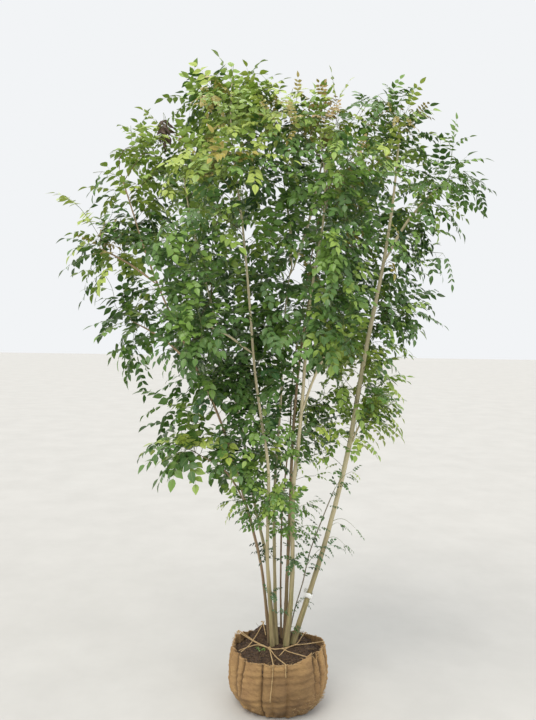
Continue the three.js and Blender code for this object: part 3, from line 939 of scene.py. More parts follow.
def grow_branches(targets):
    """Grows the branches one step a round towards the shoots nearest to them, until all are reached."""
    rng = np.random.default_rng(BRANCH_SEED)
    branching = Branching()
    cost = reach_cost(targets, np.array(branching.places))
    nearest = cost.argmin(1)
    best = cost.min(1)
    waiting = np.ones(len(targets), bool)
    tips = np.full(len(targets), -1)
    tries = {}
    while waiting.any():
        first_new = len(branching.places)
        for node in np.unique(nearest[waiting]):
            node = int(node)
            wanted = np.flatnonzero(waiting & (nearest == node))
            distances = np.linalg.norm(targets[wanted] - branching.places[node], axis=1)
            closest = wanted[distances.argmin()]
            limit = branching.limits[node]
            if distances.min() < STEP * ARRIVAL:
                heading = unit(targets[closest] - branching.places[node])
                tips[closest] = branching.add(targets[closest], heading, node, limit)
                waiting[closest] = False
                continue
            tries[node] = tries.get(node, 0) + 1
            heading = next_step(branching, node, targets[wanted], tries[node], rng)
            branching.add(branching.places[node] + STEP * heading, heading, node, limit)
        fresh = np.array(branching.places[first_new:])
        cost = reach_cost(targets, fresh)
        better = cost.min(1) < best
        nearest[better] = cost.argmin(1)[better] + first_new
        best[better] = cost.min(1)[better]
    return branching, tips


def smooth_branches(branching, rounds=3):
    """Rounds off the steps of each branch, and leaves its forks and tips in place."""
    children = [[] for _ in branching.places]
    for node, parent in enumerate(branching.parents):
        if parent >= 0:
            children[parent].append(node)
    for _ in range(rounds):
        for node in range(branching.limb_places, len(branching.places)):
            if len(children[node]) == 1:
                neighbours = branching.places[branching.parents[node]] + branching.places[children[node][0]]
                branching.places[node] = 0.5 * branching.places[node] + 0.25 * neighbours
    return children


def branch_radii(branching, children):
    """A branch is as thick as the shoots that it feeds need, and never thicker than its limb allows."""
    fed = np.ones(len(branching.places))
    for node in range(len(branching.places) - 1, branching.limb_places - 1, -1):
        if children[node]:
            fed[node] = sum(fed[child] for child in children[node])
    return np.minimum(TWIG_TIP_RADIUS * fed**PIPE_POWER, branching.limits), fed


def branch_chains(branching, children, fed):
    """Each branch from its fork to its tip, as a list of nodes that starts on what bears it."""
    chains = []
    led = set()
    for node in range(branching.limb_places, len(branching.places)):
        if node in led:
            continue
        chain = [branching.parents[node], node]
        while children[chain[-1]]:
            leader = max(children[chain[-1]], key=lambda child: (fed[child], -child))
            led.add(leader)
            chain.append(leader)
        chains.append(chain)
    return chains


TARGETS = np.array([shoot.place for shoot in SHOOTS])
BRANCHING, TIPS = grow_branches(TARGETS)
CHILDREN = smooth_branches(BRANCHING)
RADII, FED = branch_radii(BRANCHING, CHILDREN)
CHAINS = branch_chains(BRANCHING, CHILDREN, FED)

TWIG_SIDES = 5
GREEN_LENGTH = 0.1


def add_twigs():
    """Brown twigs, each green for its last stretch, in two joined pieces."""
    brown, green = Gather(), Gather()
    for chain in CHAINS:
        path = np.array([BRANCHING.places[node] for node in chain])
        radii = RADII[chain]
        radii[0] = radii[1]
        left = path_length(path)[-1] - path_length(path)
        soft = int((left > GREEN_LENGTH).sum())
        if soft > 1:
            add_tube(brown, path[: soft + 1], radii[: soft + 1], TWIG_SIDES)
        start = max(0, soft - 1)
        if len(path) - start > 1:
            add_tube(green, path[start:], radii[start:], TWIG_SIDES)
    finish_piece(brown.piece("twigs_brown", TWIG_BARK), MASS_NAMES)
    finish_piece(green.piece("twigs_green", GREEN_SHOOT), MASS_NAMES)


add_twigs()


# Leaves: pinnate, in opposite pairs, each pair square to the one before

LEAFLET_LENGTH = 0.042
LEAFLET_STATIONS = (0.0, 0.1, 0.32, 0.56, 0.8, 1.0)
LEAFLET_HALF_WIDTHS = (0.012, 0.16, 0.285, 0.255, 0.12, 0.0)
LEAFLET_SHAPES = 6
SHAPE_SEED = 3
LEAF_SEED = 19
PAIR_SPACING = 0.72
PETIOLE = 0.9
RACHIS_STEPS = 4
INTERNODE = 0.046
JOINTS_ON_SHOOT = 4
# The share by which the stretch behind the tip's leaves is shorter than the others
TIP_SHORTFALL = 0.3
MISSING_LEAVES = 0.12
TIP_LEAF_CHANCE = 0.6
TIP_LEAF_SIZE = 0.88
# How far leaves stand off their shoot in degrees: at its tip, and along it
TIP_SPREAD = 32
SIDE_SPREAD = (48, 68)
LEAF_LIFT = 0.12
# How much a leaf's upper side faces up, along its shoot, and away from the crown's middle
FACE_UP = 0.85
FACE_AHEAD = 0.3
FACE_OUT = 0.32
# Where a leaf is tested: for what it hides, in leaflet lengths from its joint, and for straying out of the
# masses, as a share of its reach
LEAF_HEART = 2.4
FAR_SHARE = 0.75
VEIN_WIDTH = 0.02
VEIN_LIFT = 0.7
VEIN_PLACES = (0, 2, 3, 4)
STALK_RADIUS = 0.0006
STALK_SIDES = 3
STALK_TAPER = (1.3, 0.6)
# How leaves vary: their size and droop, how each stretch of the stalk bends, its roll in radians, and how many
# pairs of leaflets they bear, at a shoot's tip and along it
LEAF_SIZES = (0.85, 1.15)
LEAF_DROOPS = (0.1, 0.26)
STALK_BENDS = (0.6, 1.4)
STALK_ROLL = 0.35
TIP_PAIRS = (2, 3, 3, 4)
SIDE_PAIRS = (3, 3, 4)
# How leaflets vary: how far they stand off the stalk in degrees, how much they hang, their twist in radians,
# their breadth and length, and the last one's hang and length
LEAFLET_SPREAD = (46, 68)
LEAFLET_HANG = 0.35
LEAFLET_TWIST = 0.5
LEAFLET_BREADTHS = (0.88, 1.12)
LEAFLET_LENGTHS = (0.86, 1.1)
LAST_HANG = 0.3
LAST_LENGTHS = (1.0, 1.2)
SPRAY_AGREEMENT = 0.72
ROOM_SHARE = 0.025
ROOM_EXTRA = 0.008
DOWN = Vector((0, 0, -1))
CROWN_AXIS = Vector((-0.03, 0.02, 0))

# The box that every leaf keeps inside
PLANT_SIZE = np.array(cad_box[1]) - np.array(cad_box[0])
LOWEST_LEAF = np.array(cad_box[0]) - ROOM_SHARE * PLANT_SIZE - ROOM_EXTRA
HIGHEST_LEAF = np.array(cad_box[1]) + ROOM_SHARE * PLANT_SIZE + ROOM_EXTRA


def leaflet_shape(rng):
    """A broad pointed leaflet one unit long, folded along its midrib, arched along it and a little wavy."""
    arch = rng.uniform(0.04, 0.3)
    fold = rng.uniform(0.1, 0.4)
    curl = rng.uniform(-0.08, 0.08)
    midrib, left, right = [], [], []
    for station, half in zip(LEAFLET_STATIONS, LEAFLET_HALF_WIDTHS):
        height = -arch * station**2
        sway = curl * station * (1 - station)
        wave = rng.uniform(-0.012, 0.012)
        midrib.append((station, sway, height))
        left.append((station, sway + half, height + fold * half + wave))
        right.append((station, sway - half, height + fold * half - wave))
    return np.array(midrib + left[1:-1] + right[1:-1])


def leaflet_triangles():
    """Sixteen triangles: one at the base and one at the point on each side of the midrib, strips between."""
    stations = len(LEAFLET_STATIONS)
    inner = stations - 2
    faces = []
    for first, flip in ((stations, False), (stations + inner, True)):
        edge = [first + step for step in range(inner)]
        side = [(0, edge[0], 1)]
        for step in range(inner - 1):
            side += [(1 + step, edge[step], edge[step + 1]), (1 + step, edge[step + 1], 2 + step)]
        side.append((inner, edge[-1], stations - 1))
        faces += [tuple(reversed(face)) if not flip else face for face in side]
    return np.array(faces)


def vein_shape(blade):
    """The raised midrib of a leaflet: a thin strip that lies on the fold and narrows to the point."""
    midrib = blade[list(VEIN_PLACES)]
    narrowing = np.linspace(VEIN_WIDTH, VEIN_WIDTH / 3, len(midrib))
    aside = np.stack([0 * narrowing, narrowing, 0 * narrowing], 1)
    lift = np.stack([0 * narrowing, 0 * narrowing, VEIN_LIFT * narrowing], 1)
    return np.concatenate([midrib + aside + lift, midrib - aside + lift])


def vein_faces():
    count = len(VEIN_PLACES)
    return np.array([(step, count + step, count + step + 1, step + 1) for step in range(count - 1)])


SHAPE_RNG = np.random.default_rng(SHAPE_SEED)
BLADES = [leaflet_shape(SHAPE_RNG) for _ in range(LEAFLET_SHAPES)]
VEINS = [vein_shape(blade) for blade in BLADES]


class Foliage:
    """Every leaflet, by tint and shape, as a placing matrix, with the stalks that carry them."""

    def __init__(self):
        self.leaflets = {tint: [[] for _ in BLADES] for tint in TINTS}
        self.masses = {tint: set() for tint in TINTS}
        self.stalks = Gather()
        self.rng = random.Random(LEAF_SEED)

    def leaflet(self, base, along, face, length, breadth):
        """One leaflet from its base, pointing along, its upper side to face: which shape, and its placing."""
        across = face.cross(along).normalized()
        face = along.cross(across)
        shape = self.rng.randrange(len(BLADES))
        width = length * breadth * self.rng.uniform(*LEAFLET_BREADTHS)
        return shape, (*base, *(along * length), *(across * width), *(face * length))

    def compound(self, tint, base, outward, upper, size, pairs, breadth=1.0, droop=0.16):
        """One pinnate leaf: a stalk that arches down, pairs of leaflets along it and one at its end."""
        rng = self.rng
        length = LEAFLET_LENGTH * size
        total = length * (PETIOLE + PAIR_SPACING * pairs)
        step = total / RACHIS_STEPS
        direction = outward.normalized()
        places, headings = [base.copy()], [direction.copy()]
        for _ in range(RACHIS_STEPS):
            direction = (direction + DOWN * droop * rng.uniform(*STALK_BENDS)).normalized()
            places.append(places[-1] + direction * step)
            headings.append(direction.copy())
        roll = rng.uniform(-STALK_ROLL, STALK_ROLL)

        def frame_at(distance):
            share = min(distance / step, RACHIS_STEPS - 1e-6)
            index = int(share)
            place = places[index].lerp(places[index + 1], share - index)
            heading = headings[index + 1]
            face = upper - heading * upper.dot(heading)
            face = face.normalized() if face.length > 0.05 else heading.orthogonal().normalized()
            return place, heading, Matrix.Rotation(roll, 3, heading) @ face

        leaflets = []
        for pair in range(pairs):
            place, heading, face = frame_at(length * (PETIOLE + PAIR_SPACING * pair))
            across = face.cross(heading)
            scale = length * (0.8 + 0.2 * math.sin(math.pi * (pair + 1) / (pairs + 1)))
            for side in (-1, 1):
                spread = math.radians(rng.uniform(*LEAFLET_SPREAD))
                along = heading * math.cos(spread) + across * side * math.sin(spread)
                along = (along + DOWN * rng.uniform(0, LEAFLET_HANG)).normalized()
                twist = rng.uniform(-LEAFLET_TWIST, LEAFLET_TWIST)
                facing = Matrix.Rotation(twist, 3, along) @ face
                reach = scale * rng.uniform(*LEAFLET_LENGTHS)
                leaflets.append(self.leaflet(place, along, facing, reach, breadth))
        place, heading, face = frame_at(total)
        along = (heading + DOWN * rng.uniform(0, LAST_HANG)).normalized()
        leaflets.append(self.leaflet(place, along, face, length * rng.uniform(*LAST_LENGTHS), breadth))
        ends = np.array([row[:6] for _, row in leaflets]).reshape(-1, 2, 3).sum(1)
        if (ends < LOWEST_LEAF).any() or (ends > HIGHEST_LEAF).any():
            return
        for shape, row in leaflets:
            self.leaflets[tint][shape].append(row)
        radii = np.linspace(*STALK_TAPER, len(places)) * STALK_RADIUS * size
        add_tube(self.stalks, np.array(places), radii, STALK_SIDES)

    def pieces(self):
        """Joins the leaflets of each tint into a piece, and all the midribs into another."""
        blade_faces, rib_faces = leaflet_triangles(), vein_faces()
        veins = Gather()
        for tint, shapes in self.leaflets.items():
            blades = Gather()
            for shape, rows in enumerate(shapes):
                if not rows:
                    continue
                matrix = np.array(rows).reshape(-1, 4, 3)
                for outline, faces, gather in ((BLADES, blade_faces, blades), (VEINS, rib_faces, veins)):
                    points = matrix[:, None, 0] + np.einsum("pk,nkx->npx", outline[shape], matrix[:, 1:])
                    shift = np.arange(len(rows))[:, None, None] * len(outline[shape])
                    joined = (faces[None] + shift).reshape(-1, faces.shape[1])
                    kind = "triangles" if faces.shape[1] == 3 else "quads"
                    gather.add(points, **{kind: joined})
            if blades.count:
                code, slot = TINTS[tint]
                piece = blades.piece("leaves_" + tint, waxy_leaf("leaf_" + tint, code))
                finish_piece(piece, sorted(self.masses[tint]))
        finish_piece(self.stalks.piece("leaf_stalks", LEAF_STALK), MASS_NAMES)
        finish_piece(veins.piece("leaf_midribs", MIDRIB), MASS_NAMES)


# Which tint a spray takes: bronze where leaves are young, and painted light and shade: lighter tints at the
# top and the edge, deeper and cooler ones inside and low down

# Where the newest leaves come out bronze, and where sprays take yellow-green tints, partly young leaves and
# partly
# painted light on the outer leaves: x from and to, z from and to, and the share of the sprays there
BRONZE_ZONES = {
    "top_right": (0.02, 0.5, 2.14, 2.5, 0.5),
    "upper_left": (-0.4, -0.02, 2.08, 2.36, 0.35),
    "left_edge": (-0.8, -0.6, 1.8, 2.1, 0.15),
    "under_right": (0.3, 0.45, 1.6, 1.72, 0.2),
}
# Yellow-green sprays: partly young leaves, partly painted light on the outer leaves
YELLOW_GREEN_AND_LIT_ZONES = {
    "upper_left": (-0.68, -0.2, 1.96, 2.36, 0.8),
    "top": (-0.4, 0.0, 2.25, 2.7, 0.7),
    "top_right": (0.0, 0.6, 2.1, 2.5, 0.5),
    "far_left": (-0.9, -0.5, 1.5, 1.96, 0.4),
    "wing": (-0.65, -0.3, 0.8, 1.2, 0.28),
    "low_right": (0.15, 0.6, 1.0, 1.5, 0.7),
    "hem": (-0.25, 0.3, 0.8, 1.1, 0.22),
    "middle_right": (0.15, 0.6, 1.55, 2.1, 0.12),
}
# Old leaves that turn yellow: their share, and the height above which they are seen
YELLOW_CHANCE = 0.005
YELLOW_FROM = 0.8
# The newest leaves are still small
YOUNG_TINTS = ("bronze", "rosy")
YOUNG_SIZE = 0.62
# The share of leafy directions round a place from which it counts as shaded, and as half shaded, and takes
# darker tints as painted shade
SHADED = 0.8
HALF_SHADED = 0.55
# Painted light: an open spray's chance of a lighter tint grows with height: (height - LIGHT_FROM) / LIGHT_RISE
# - LIGHT_DELAY
LIGHT_FROM = 0.9
LIGHT_RISE = 1.6
LIGHT_DELAY = 0.35


def falls_in(zones, place, chance):
    """True where one of the zones holds the place and takes this share of its sprays."""
    x, _, z = place
    return any(
        left < x < right and low < z < high and chance < share
        for left, right, low, high, share in zones.values()
    )


def tint_for(place, inside, rng):
    """The tint of one spray, from its place and from how far it stands inside the leaves: darker inside as
    painted shade, lighter high up as painted light.
    """
    height = (place[2] - LIGHT_FROM) / LIGHT_RISE
    if rng.random() < YELLOW_CHANCE and place[2] > YELLOW_FROM:
        return "yellow"
    shaded = inside > SHADED
    if not shaded and falls_in(BRONZE_ZONES, place, rng.random()):
        return rng.choice(["bronze", "bronze", "rosy", "lime"])
    if not shaded and falls_in(YELLOW_GREEN_AND_LIT_ZONES, place, rng.random()):
        return rng.choice(["lime", "spring", "spring"])
    # Painted shade: shaded sprays take the darker tints
    if shaded:
        return rng.choice(["deep", "dark", "deep", "cool"])
    if inside > HALF_SHADED:
        return rng.choice(["mid", "deep", "fresh", "cool", "mid"])
    if rng.random() < height - LIGHT_DELAY:
        return rng.choice(["spring", "bright", "fresh"])
    return rng.choice(["fresh", "mid", "mid", "bright"])


def onto_plant_plane(place):
    """Where the camera sees a place, carried to the upright plane through the plant's middle: x and z."""
    share = -CAMERA_PLACE[1] / (place[1] - CAMERA_PLACE[1])
    return [CAMERA_PLACE[axis] + (place[axis] - CAMERA_PLACE[axis]) * share for axis in (0, 2)]


def spoils_outline(place):
    """True where a leaf would close an opening that the camera sees through, or stand over the crown."""
    x, z = onto_plant_plane(place)
    closes = any(math.hypot(x - across, z - height) < radius for across, height, radius in OPENINGS.values())
    return z > CROWN_TOP or closes


# The length of the right stem that is left bare in front, and how far leaves keep off it
BARE_STEM = "stem_right"
BARE_FROM = 1.2
BARE_TO = 1.86
BARE_CLEARANCE = 0.045
BARE_LENGTH = np.array([place for place in LIMBS[BARE_STEM][0] if BARE_FROM < place[2] < BARE_TO])
BARE_SEEN = np.array([onto_plant_plane(place) for place in BARE_LENGTH])


def hides_stem(place):
    """True where a leaf would stand before the bare length of the right stem."""
    gaps = np.linalg.norm(BARE_SEEN - onto_plant_plane(place), axis=1)
    return gaps.min() < BARE_CLEARANCE and place[1] < BARE_LENGTH[gaps.argmin(), 1]


def leaf_joints(path, spacing, count):
    """Where pairs of leaves sit on a shoot, from its tip back, with its direction there."""
    run = path_length(path)
    joints = []
    for order in range(count):
        mark = spacing * max(0.0, order - TIP_SHORTFALL)
        if mark > run[-1]:
            break
        place = [np.interp(mark, run, path[:, axis]) for axis in range(3)]
        segment = min(int(np.searchsorted(run, mark, side="right")), len(run) - 1)
        joints.append((Vector(place), Vector(unit(path[segment - 1] - path[segment]))))
    return joints


def path_back(tip):
    """The branch from a shoot's tip back, as far as its leaves reach."""
    places = [BRANCHING.places[tip]]
    node = BRANCHING.parents[tip]
    while node >= BRANCHING.limb_places and len(places) * STEP < (JOINTS_ON_SHOOT + 1) * INTERNODE:
        places.append(BRANCHING.places[node])
        node = BRANCHING.parents[node]
    places.append(BRANCHING.places[node])
    return np.array(places)


def dress_path(
    foliage, path, mass, inside, size, breadth, spacing=INTERNODE, count=JOINTS_ON_SHOOT, free=True
):
    """Pairs of leaves along a shoot, mostly of one tint, with a single leaf more at most tips.

    Only a shoot that is free to has more than a few leaves that reach out of the masses.
    """
    rng = foliage.rng
    own = tint_for(path[0], inside, rng)
    turn = rng.uniform(0, math.pi)
    for order, (place, heading) in enumerate(leaf_joints(path, spacing, count)):
        side = Matrix.Rotation(turn + order * math.pi / 2, 3, heading) @ heading.orthogonal().normalized()
        away = place - CROWN_AXIS
        away.z = 0
        upper = (-DOWN * FACE_UP + heading * FACE_AHEAD + away.normalized() * FACE_OUT).normalized()
        signs = (-1, 0, 1) if order == 0 and rng.random() < TIP_LEAF_CHANCE else (-1, 1)
        for sign in signs:
            if rng.random() < MISSING_LEAVES:
                continue
            spread = math.radians(TIP_SPREAD if order == 0 else rng.uniform(*SIDE_SPREAD)) * abs(sign)
            outward = heading * math.cos(spread) + side * sign * math.sin(spread) - DOWN * LEAF_LIFT
            scale = size * rng.uniform(*LEAF_SIZES) * (TIP_LEAF_SIZE if order == 0 else 1.0)
            pairs = rng.choice(TIP_PAIRS if order == 0 else SIDE_PAIRS)
            heart = place + outward * LEAFLET_LENGTH * LEAF_HEART
            if spoils_outline(heart) or hides_stem(heart):
                continue
            middle = np.array(place + outward * LEAF_REACH * scale * FAR_SHARE)
            if not free and rng.random() > STRAY_SHARE and strays(middle):
                continue
            shade = own if rng.random() < SPRAY_AGREEMENT else tint_for(path[0], inside, rng)
            if shade in YOUNG_TINTS:
                scale *= YOUNG_SIZE
            droop = rng.uniform(*LEAF_DROOPS)
            foliage.compound(shade, place, outward, upper, scale, pairs, breadth, droop)
            foliage.masses[shade].add(mass)


def hang_leaves(foliage, place, size):
    """Two narrow leaves that hang down from one place, one longer than the other."""
    rng = foliage.rng
    for sign, pairs in ((-1, 3), (1, 5)):
        outward = Vector((0.45 * sign, rng.uniform(-0.5, 0.3), rng.uniform(-0.7, -0.1)))
        upper = Vector((rng.uniform(0.4, 1.2) * sign, -0.7, rng.uniform(0, 0.6)))
        scale = size * rng.uniform(0.85, 1.05)
        foliage.compound("mid", Vector(place), outward, upper, scale, pairs, breadth=0.8, droop=0.6)


WITHERED_JOINTS = 3
WITHERED_LEAVES = 2


def wither(foliage, path, mass, size):
    """A dead spray: its leaves hang limp and folded together."""
    rng = foliage.rng
    for place, _ in leaf_joints(path, INTERNODE / 2, WITHERED_JOINTS):
        for _ in range(WITHERED_LEAVES):
            outward = Vector((rng.uniform(-0.5, 0.5), rng.uniform(-0.5, 0.5), -0.6))
            upper = Vector((rng.uniform(-1, 1), -1, 0))
            foliage.compound("withered", place, outward, upper, size, 2, breadth=0.7, droop=0.5)
    foliage.masses["withered"].add(mass)


# Small shoots straight out of the stems below the crown: the stem, the height, the way round in degrees (0 is
# +X and -90 faces the camera), the length, the rise over that length, and the leaves' size beside the usual
SPROUTS = {
    "pale_base": ("stem_pale", 0.27, -10, 0.03, 0.8, 0.26),
    "middle_foot": ("stem_middle", 0.33, -25, 0.04, 0.8, 0.3),
    "front_knee": ("stem_front_left", 0.42, -70, 0.035, 0.8, 0.26),
    "whip_foot": ("stem_whip", 0.37, -20, 0.03, 0.8, 0.26),
    "middle_low": ("stem_middle", 0.56, -150, 0.06, 0.9, 0.4),
    "middle_knee": ("stem_middle", 0.645, -60, 0.08, 0.9, 0.45),
    "middle_high": ("stem_middle", 0.74, -130, 0.09, 0.8, 0.5),
    "red_low": ("stem_red", 0.6, -20, 0.06, 0.9, 0.4),
    "red_high": ("stem_red", 0.71, 20, 0.08, 0.8, 0.45),
    "pale_low": ("stem_pale", 0.55, -80, 0.05, 0.8, 0.36),
    "pale_knee": ("stem_pale", 0.66, -30, 0.08, 0.8, 0.42),
    "pale_high": ("stem_pale", 0.77, -110, 0.09, 0.8, 0.5),
    "front_low": ("stem_front_left", 0.7, -150, 0.07, 0.8, 0.45),
    "front_high": ("stem_front_left", 0.79, -70, 0.08, 0.8, 0.5),
    "back_low": ("stem_back_left", 0.68, 150, 0.07, 0.8, 0.45),
    "back_high": ("stem_back_left", 0.78, 100, 0.08, 0.8, 0.5),
    "thin_low": ("stem_thin_back", 0.62, 60, 0.07, 0.8, 0.42),
    "thin_high": ("stem_thin_back", 0.75, 100, 0.08, 0.8, 0.5),
    "outer_high": ("stem_outer_left", 0.76, 170, 0.07, 0.7, 0.5),
    "whip_fork": ("stem_whip", 0.545, -10, 0.1, 0.9, 0.33),
    "whip_top": ("stem_whip", 0.86, -20, 0.07, 1.2, 0.36),
}
# Bare twigs that arch out of the right stem, given in the same way without the leaves
BARE_TWIGS = {
    "right_upper": ("stem_right", 0.72, -20, 0.1, -0.12),
    "right_lower": ("stem_right", 0.65, 10, 0.075, -0.3),
    "right_middle": ("stem_right", 0.69, 25, 0.055, 0.35),
}
SPROUT_POINTS = 8
SPROUT_RADIUS = 0.0011
SPROUT_INTERNODE = 0.022
SPROUT_BOW = 0.25
SPROUT_BREADTH = 1.15
# Sprouts below this height, and the whip's leaves, take the shaded sprays' darker tints as painted shade
SHADED_SPROUTS = 0.6
DEEP_SHADE = 1.0
WHIP_LEAVES_FROM = 0.48
WHIP_LEAF_SIZE = 0.35
WHIP_LEAF_BREADTH = 1.1
WHIP_JOINTS = 16
# A tuft of young leaves that stands on the soil in front of the stems
TUFT_PLACE = (-0.069, -0.013)
TUFT_LEAVES = 7
TUFT_SIZE = 0.3
TUFT_RISE = (0.6, 1.6)


def sprout_path(stem, height, turn, length, rise):
    """A short bowed shoot from inside a stem, out and up."""
    path, _ = LIMBS[stem]
    foot = path[np.abs(path[:, 2] - height).argmin()]
    shares = np.linspace(0, 1, SPROUT_POINTS)[:, None]
    way = np.array([math.cos(math.radians(turn)), math.sin(math.radians(turn)), 0])
    lift = rise * shares + SPROUT_BOW * np.sin(math.pi * shares)
    return foot + length * (way * shares + UP * lift)


def dress_stems(foliage):
    """The sprouts with their small leaves, the bare twigs, and the leaves along the whip."""
    shoots = Gather()
    for stem, height, turn, length, rise, size in SPROUTS.values():
        path = sprout_path(stem, height, turn, length, rise)
        add_tube(shoots, path, np.linspace(1.0, 0.5, len(path)) * SPROUT_RADIUS, TWIG_SIDES)
        count = 2 + round(length / SPROUT_INTERNODE)
        shade = DEEP_SHADE if height < SHADED_SPROUTS else 0
        dress_path(foliage, path[::-1], "leaves_hem", shade, size, SPROUT_BREADTH, SPROUT_INTERNODE, count)
    for stem, height, turn, length, rise in BARE_TWIGS.values():
        path = sprout_path(stem, height, turn, length, rise)
        add_tube(shoots, path, np.linspace(1.0, 0.4, len(path)) * SPROUT_RADIUS, TWIG_SIDES)
        small = (WHIP_LEAF_SIZE, WHIP_LEAF_BREADTH, SPROUT_INTERNODE, 1)
        dress_path(foliage, path[::-1], "leaves_hem_right", 0, *small)
    whip = LIMBS[YOUNGEST_STEM][0]
    bearing = whip[whip[:, 2] > WHIP_LEAVES_FROM][::-1]
    small = (WHIP_LEAF_SIZE, WHIP_LEAF_BREADTH, INTERNODE, WHIP_JOINTS)
    dress_path(foliage, bearing, "leaves_hem_right", DEEP_SHADE, *small)
    foot = Vector((*TUFT_PLACE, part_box("root_ball_soil")[1][2]))
    for order in range(TUFT_LEAVES):
        turn = 2 * math.pi * order / TUFT_LEAVES
        outward = Vector((math.cos(turn), math.sin(turn), foliage.rng.uniform(*TUFT_RISE)))
        foliage.compound("fresh", foot, outward, -DOWN, TUFT_SIZE, 1, breadth=0.8, droop=0.3)
    finish_piece(shoots.piece("stem_sprouts", GREEN_SHOOT), ["leaves_hem"])


def dress_crown():
    """Leaves on every shoot of the crown and on the stems, joined at the end into a piece for each tint."""
    foliage = Foliage()
    for tip, shoot in zip(TIPS, SHOOTS):
        path = path_back(int(tip))
        inside = share_inside(shoot.place, HEART_REACH)
        mass = shoot.mass
        if shoot.kind == "withered":
            wither(foliage, path, mass.name, mass.leaf_size)
            continue
        free = shoot.kind != "leafy"
        dress_path(foliage, path, mass.name, inside, mass.leaf_size, mass.breadth, free=free)
        if shoot.kind == "hanging":
            hang_leaves(foliage, path[0], mass.leaf_size)
    dress_stems(foliage)
    foliage.pieces()


dress_crown()


# The root ball's burlap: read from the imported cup, then pleated, wrinkled and drawn in under the twine

WRAP_COLUMNS = 450
WRAP_ROW_STEP = 0.0032
FRAY_LOWEST = 0.016
CUP_FLOOR = 0.01
RIM_LOW = 0.2
CLOTH_THICKNESS = 0.005
TUCK_DEPTH = 0.045
WRINKLE_HEIGHT = 0.014
WRINKLE_DEPTH = 0.003
WRINKLE_STRETCH = 0.2
WRINKLE_SEED = 51
GROOVE_DEPTH = 0.0085
GROOVE_WIDTH = 0.0075
# How tight a groove still is at the foot and the rim, beside its middle
LEAST_PULL = 0.35
PANEL_SAG = 0.0045
PANEL_WIDTH = 0.03
PLEAT_DEPTH = 0.016
PLEAT_WIDTH = 0.0085
PLEAT_FALL = 0.8
# Painted shade on the cloth turned in over the rim and under the ball
INNER_SHADE = 0.55
BUNCH_HEIGHT = 0.05
BUNCH_DEPTH = 0.006
BUNCH_WIDTH = 0.016
BUNCH_FOOT = 0.008
BUNCH_STRETCH = (1, 1, 0.4)
BUNCH_SEED = 54
WEAVE_YARNS = 306
UNDERSIDE_RINGS = (0.3, 0.65, 0.9)
# How the cloth turns over the rim: how far in, beside its thickness, and how far down, in metres; the last
# reaches the end of the tucked hem
RIM_TURN = ((0.35, -0.0012), (0.75, -0.001), (1.0, 0.001), (1.05, 0.008), (1.1, 0.02), (1.15, 1.0))
# Painted shade in a groove: how dark, and how wide beside it; in a pleat: how far off its middle, and how wide
GROOVE_SHADE = 0.6
GROOVE_SHADE_WIDTH = 0.7
PLEAT_SHADE_PLACE = 0.7
PLEAT_SHADE_WIDTH = 0.6
# The way round in degrees of each groove that a tight strand draws in the cloth, and of each tucked pleat,
# and how strong it is beside the usual
GROOVES = {-97: 0.8, -80: 1, 153: 1, 3: 1, 115: 1, 50: 1, -110: 1.5, 178: 1, 85: 1, 25: 1}
PLEATS = {
    -172: 1, -160: 1.3, -145: 2, -133: 1, -41: 1.3, -29: 1.3, -12: 1, 160: 1, 140: 1, 98: 1, 67: 1, 35: 1,
}
# Smooth lumps in the cloth, on the rim and on the soil: their height, their width and their seed
CLOTH_LUMPS = ((0.0012, 0.035, 52), (0.0005, 0.007, 53))
RIM_LUMPS = ((0.0009, 0.006, 61), (0.001, 0.02, 62))
SOIL_LUMPS = ((0.0022, 0.03, 71), (0.0011, 0.009, 72), (0.0006, 0.004, 73))
# Where the cloth is pulled smooth: the way round and the width in degrees, and the share of its wrinkles lost
SMOOTH_SIDES = ((-165, 26, 0.75), (-18, 20, 0.6))
# Where the rim is drawn up or falls: the way round and the width in degrees, and the height in metres
RIM_SHAPE = {
    "left_corner": (154, 7, 0.006),
    "left_fall": (-160, 12, -0.006),
    "left_front": (-130, 14, -0.011),
    "front": (-95, 40, 0.004),
    "front_right_corner": (-47, 10, 0.022),
    "notch": (-38, 4, -0.028),
    "right_flap": (-25, 10, 0.012),
    "right_lug": (-9, 7, 0.008),
    "back_fall": (78, 48, -0.017),
}
# How far the left corner draws the cloth in, in metres, and over which width, in radians
CORNER_PULL = 0.008
CORNER_WIDTH = 0.09
# Where the cloth is damp and darker: the way round and the width in degrees, and how much
DAMP_SIDE = -78
DAMP_WIDTH = 42
DAMP_SHARE = 0.56
DRY_RIM = 0.8


def apart(angles, degrees):
    """How far each angle is from a way round, in radians, the short way."""
    return (angles - math.radians(degrees) + math.pi) % (2 * math.pi) - math.pi


def bell(angles, degrees, width, power=2):
    """One at a way round, falling off smoothly to either side over a width in degrees."""
    return np.exp(-((apart(angles, degrees) / math.radians(width)) ** power))


def across_pleats(angles, radii, share):
    """Each pleat's strength, and how far places are across it, in its own widths; they lean by turns."""
    for order, (degrees, strength) in enumerate(PLEATS.items()):
        across = apart(angles, degrees) * radii / (PLEAT_WIDTH * strength)
        yield strength, across + (share - 1) * (-1) ** order


def read_wrap():
    """The cup's outer profile, from the foot to the rim, and its rim's height at each angle."""
    corners = node_triangles("burlap_wrap").reshape(-1, 3)
    reach = np.hypot(corners[:, 0], corners[:, 1])
    levels = [z for z in np.unique(corners[:, 2].round(5)) if z < 1e-5 or CUP_FLOOR < z < RIM_LOW]
    profile = [(reach[np.abs(corners[:, 2] - z) < 1e-4].max(), 0, z) for z in levels]
    rim = corners[corners[:, 2] > RIM_LOW]
    profile.append((np.hypot(rim[:, 0], rim[:, 1]).max(), 0, rim[:, 2].mean()))
    rim_angles = np.arctan2(rim[:, 1], rim[:, 0])
    order = rim_angles.argsort()
    return smooth_path(profile, WRAP_ROW_STEP), (rim_angles[order], rim[order, 2])


WRAP_PROFILE, RIM_HEIGHTS = read_wrap()
RIM_MEAN = WRAP_PROFILE[-1, 2]
RIM_RADIUS = WRAP_PROFILE[-1, 0]
SOIL_TOP = float(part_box("root_ball_soil")[1][2])


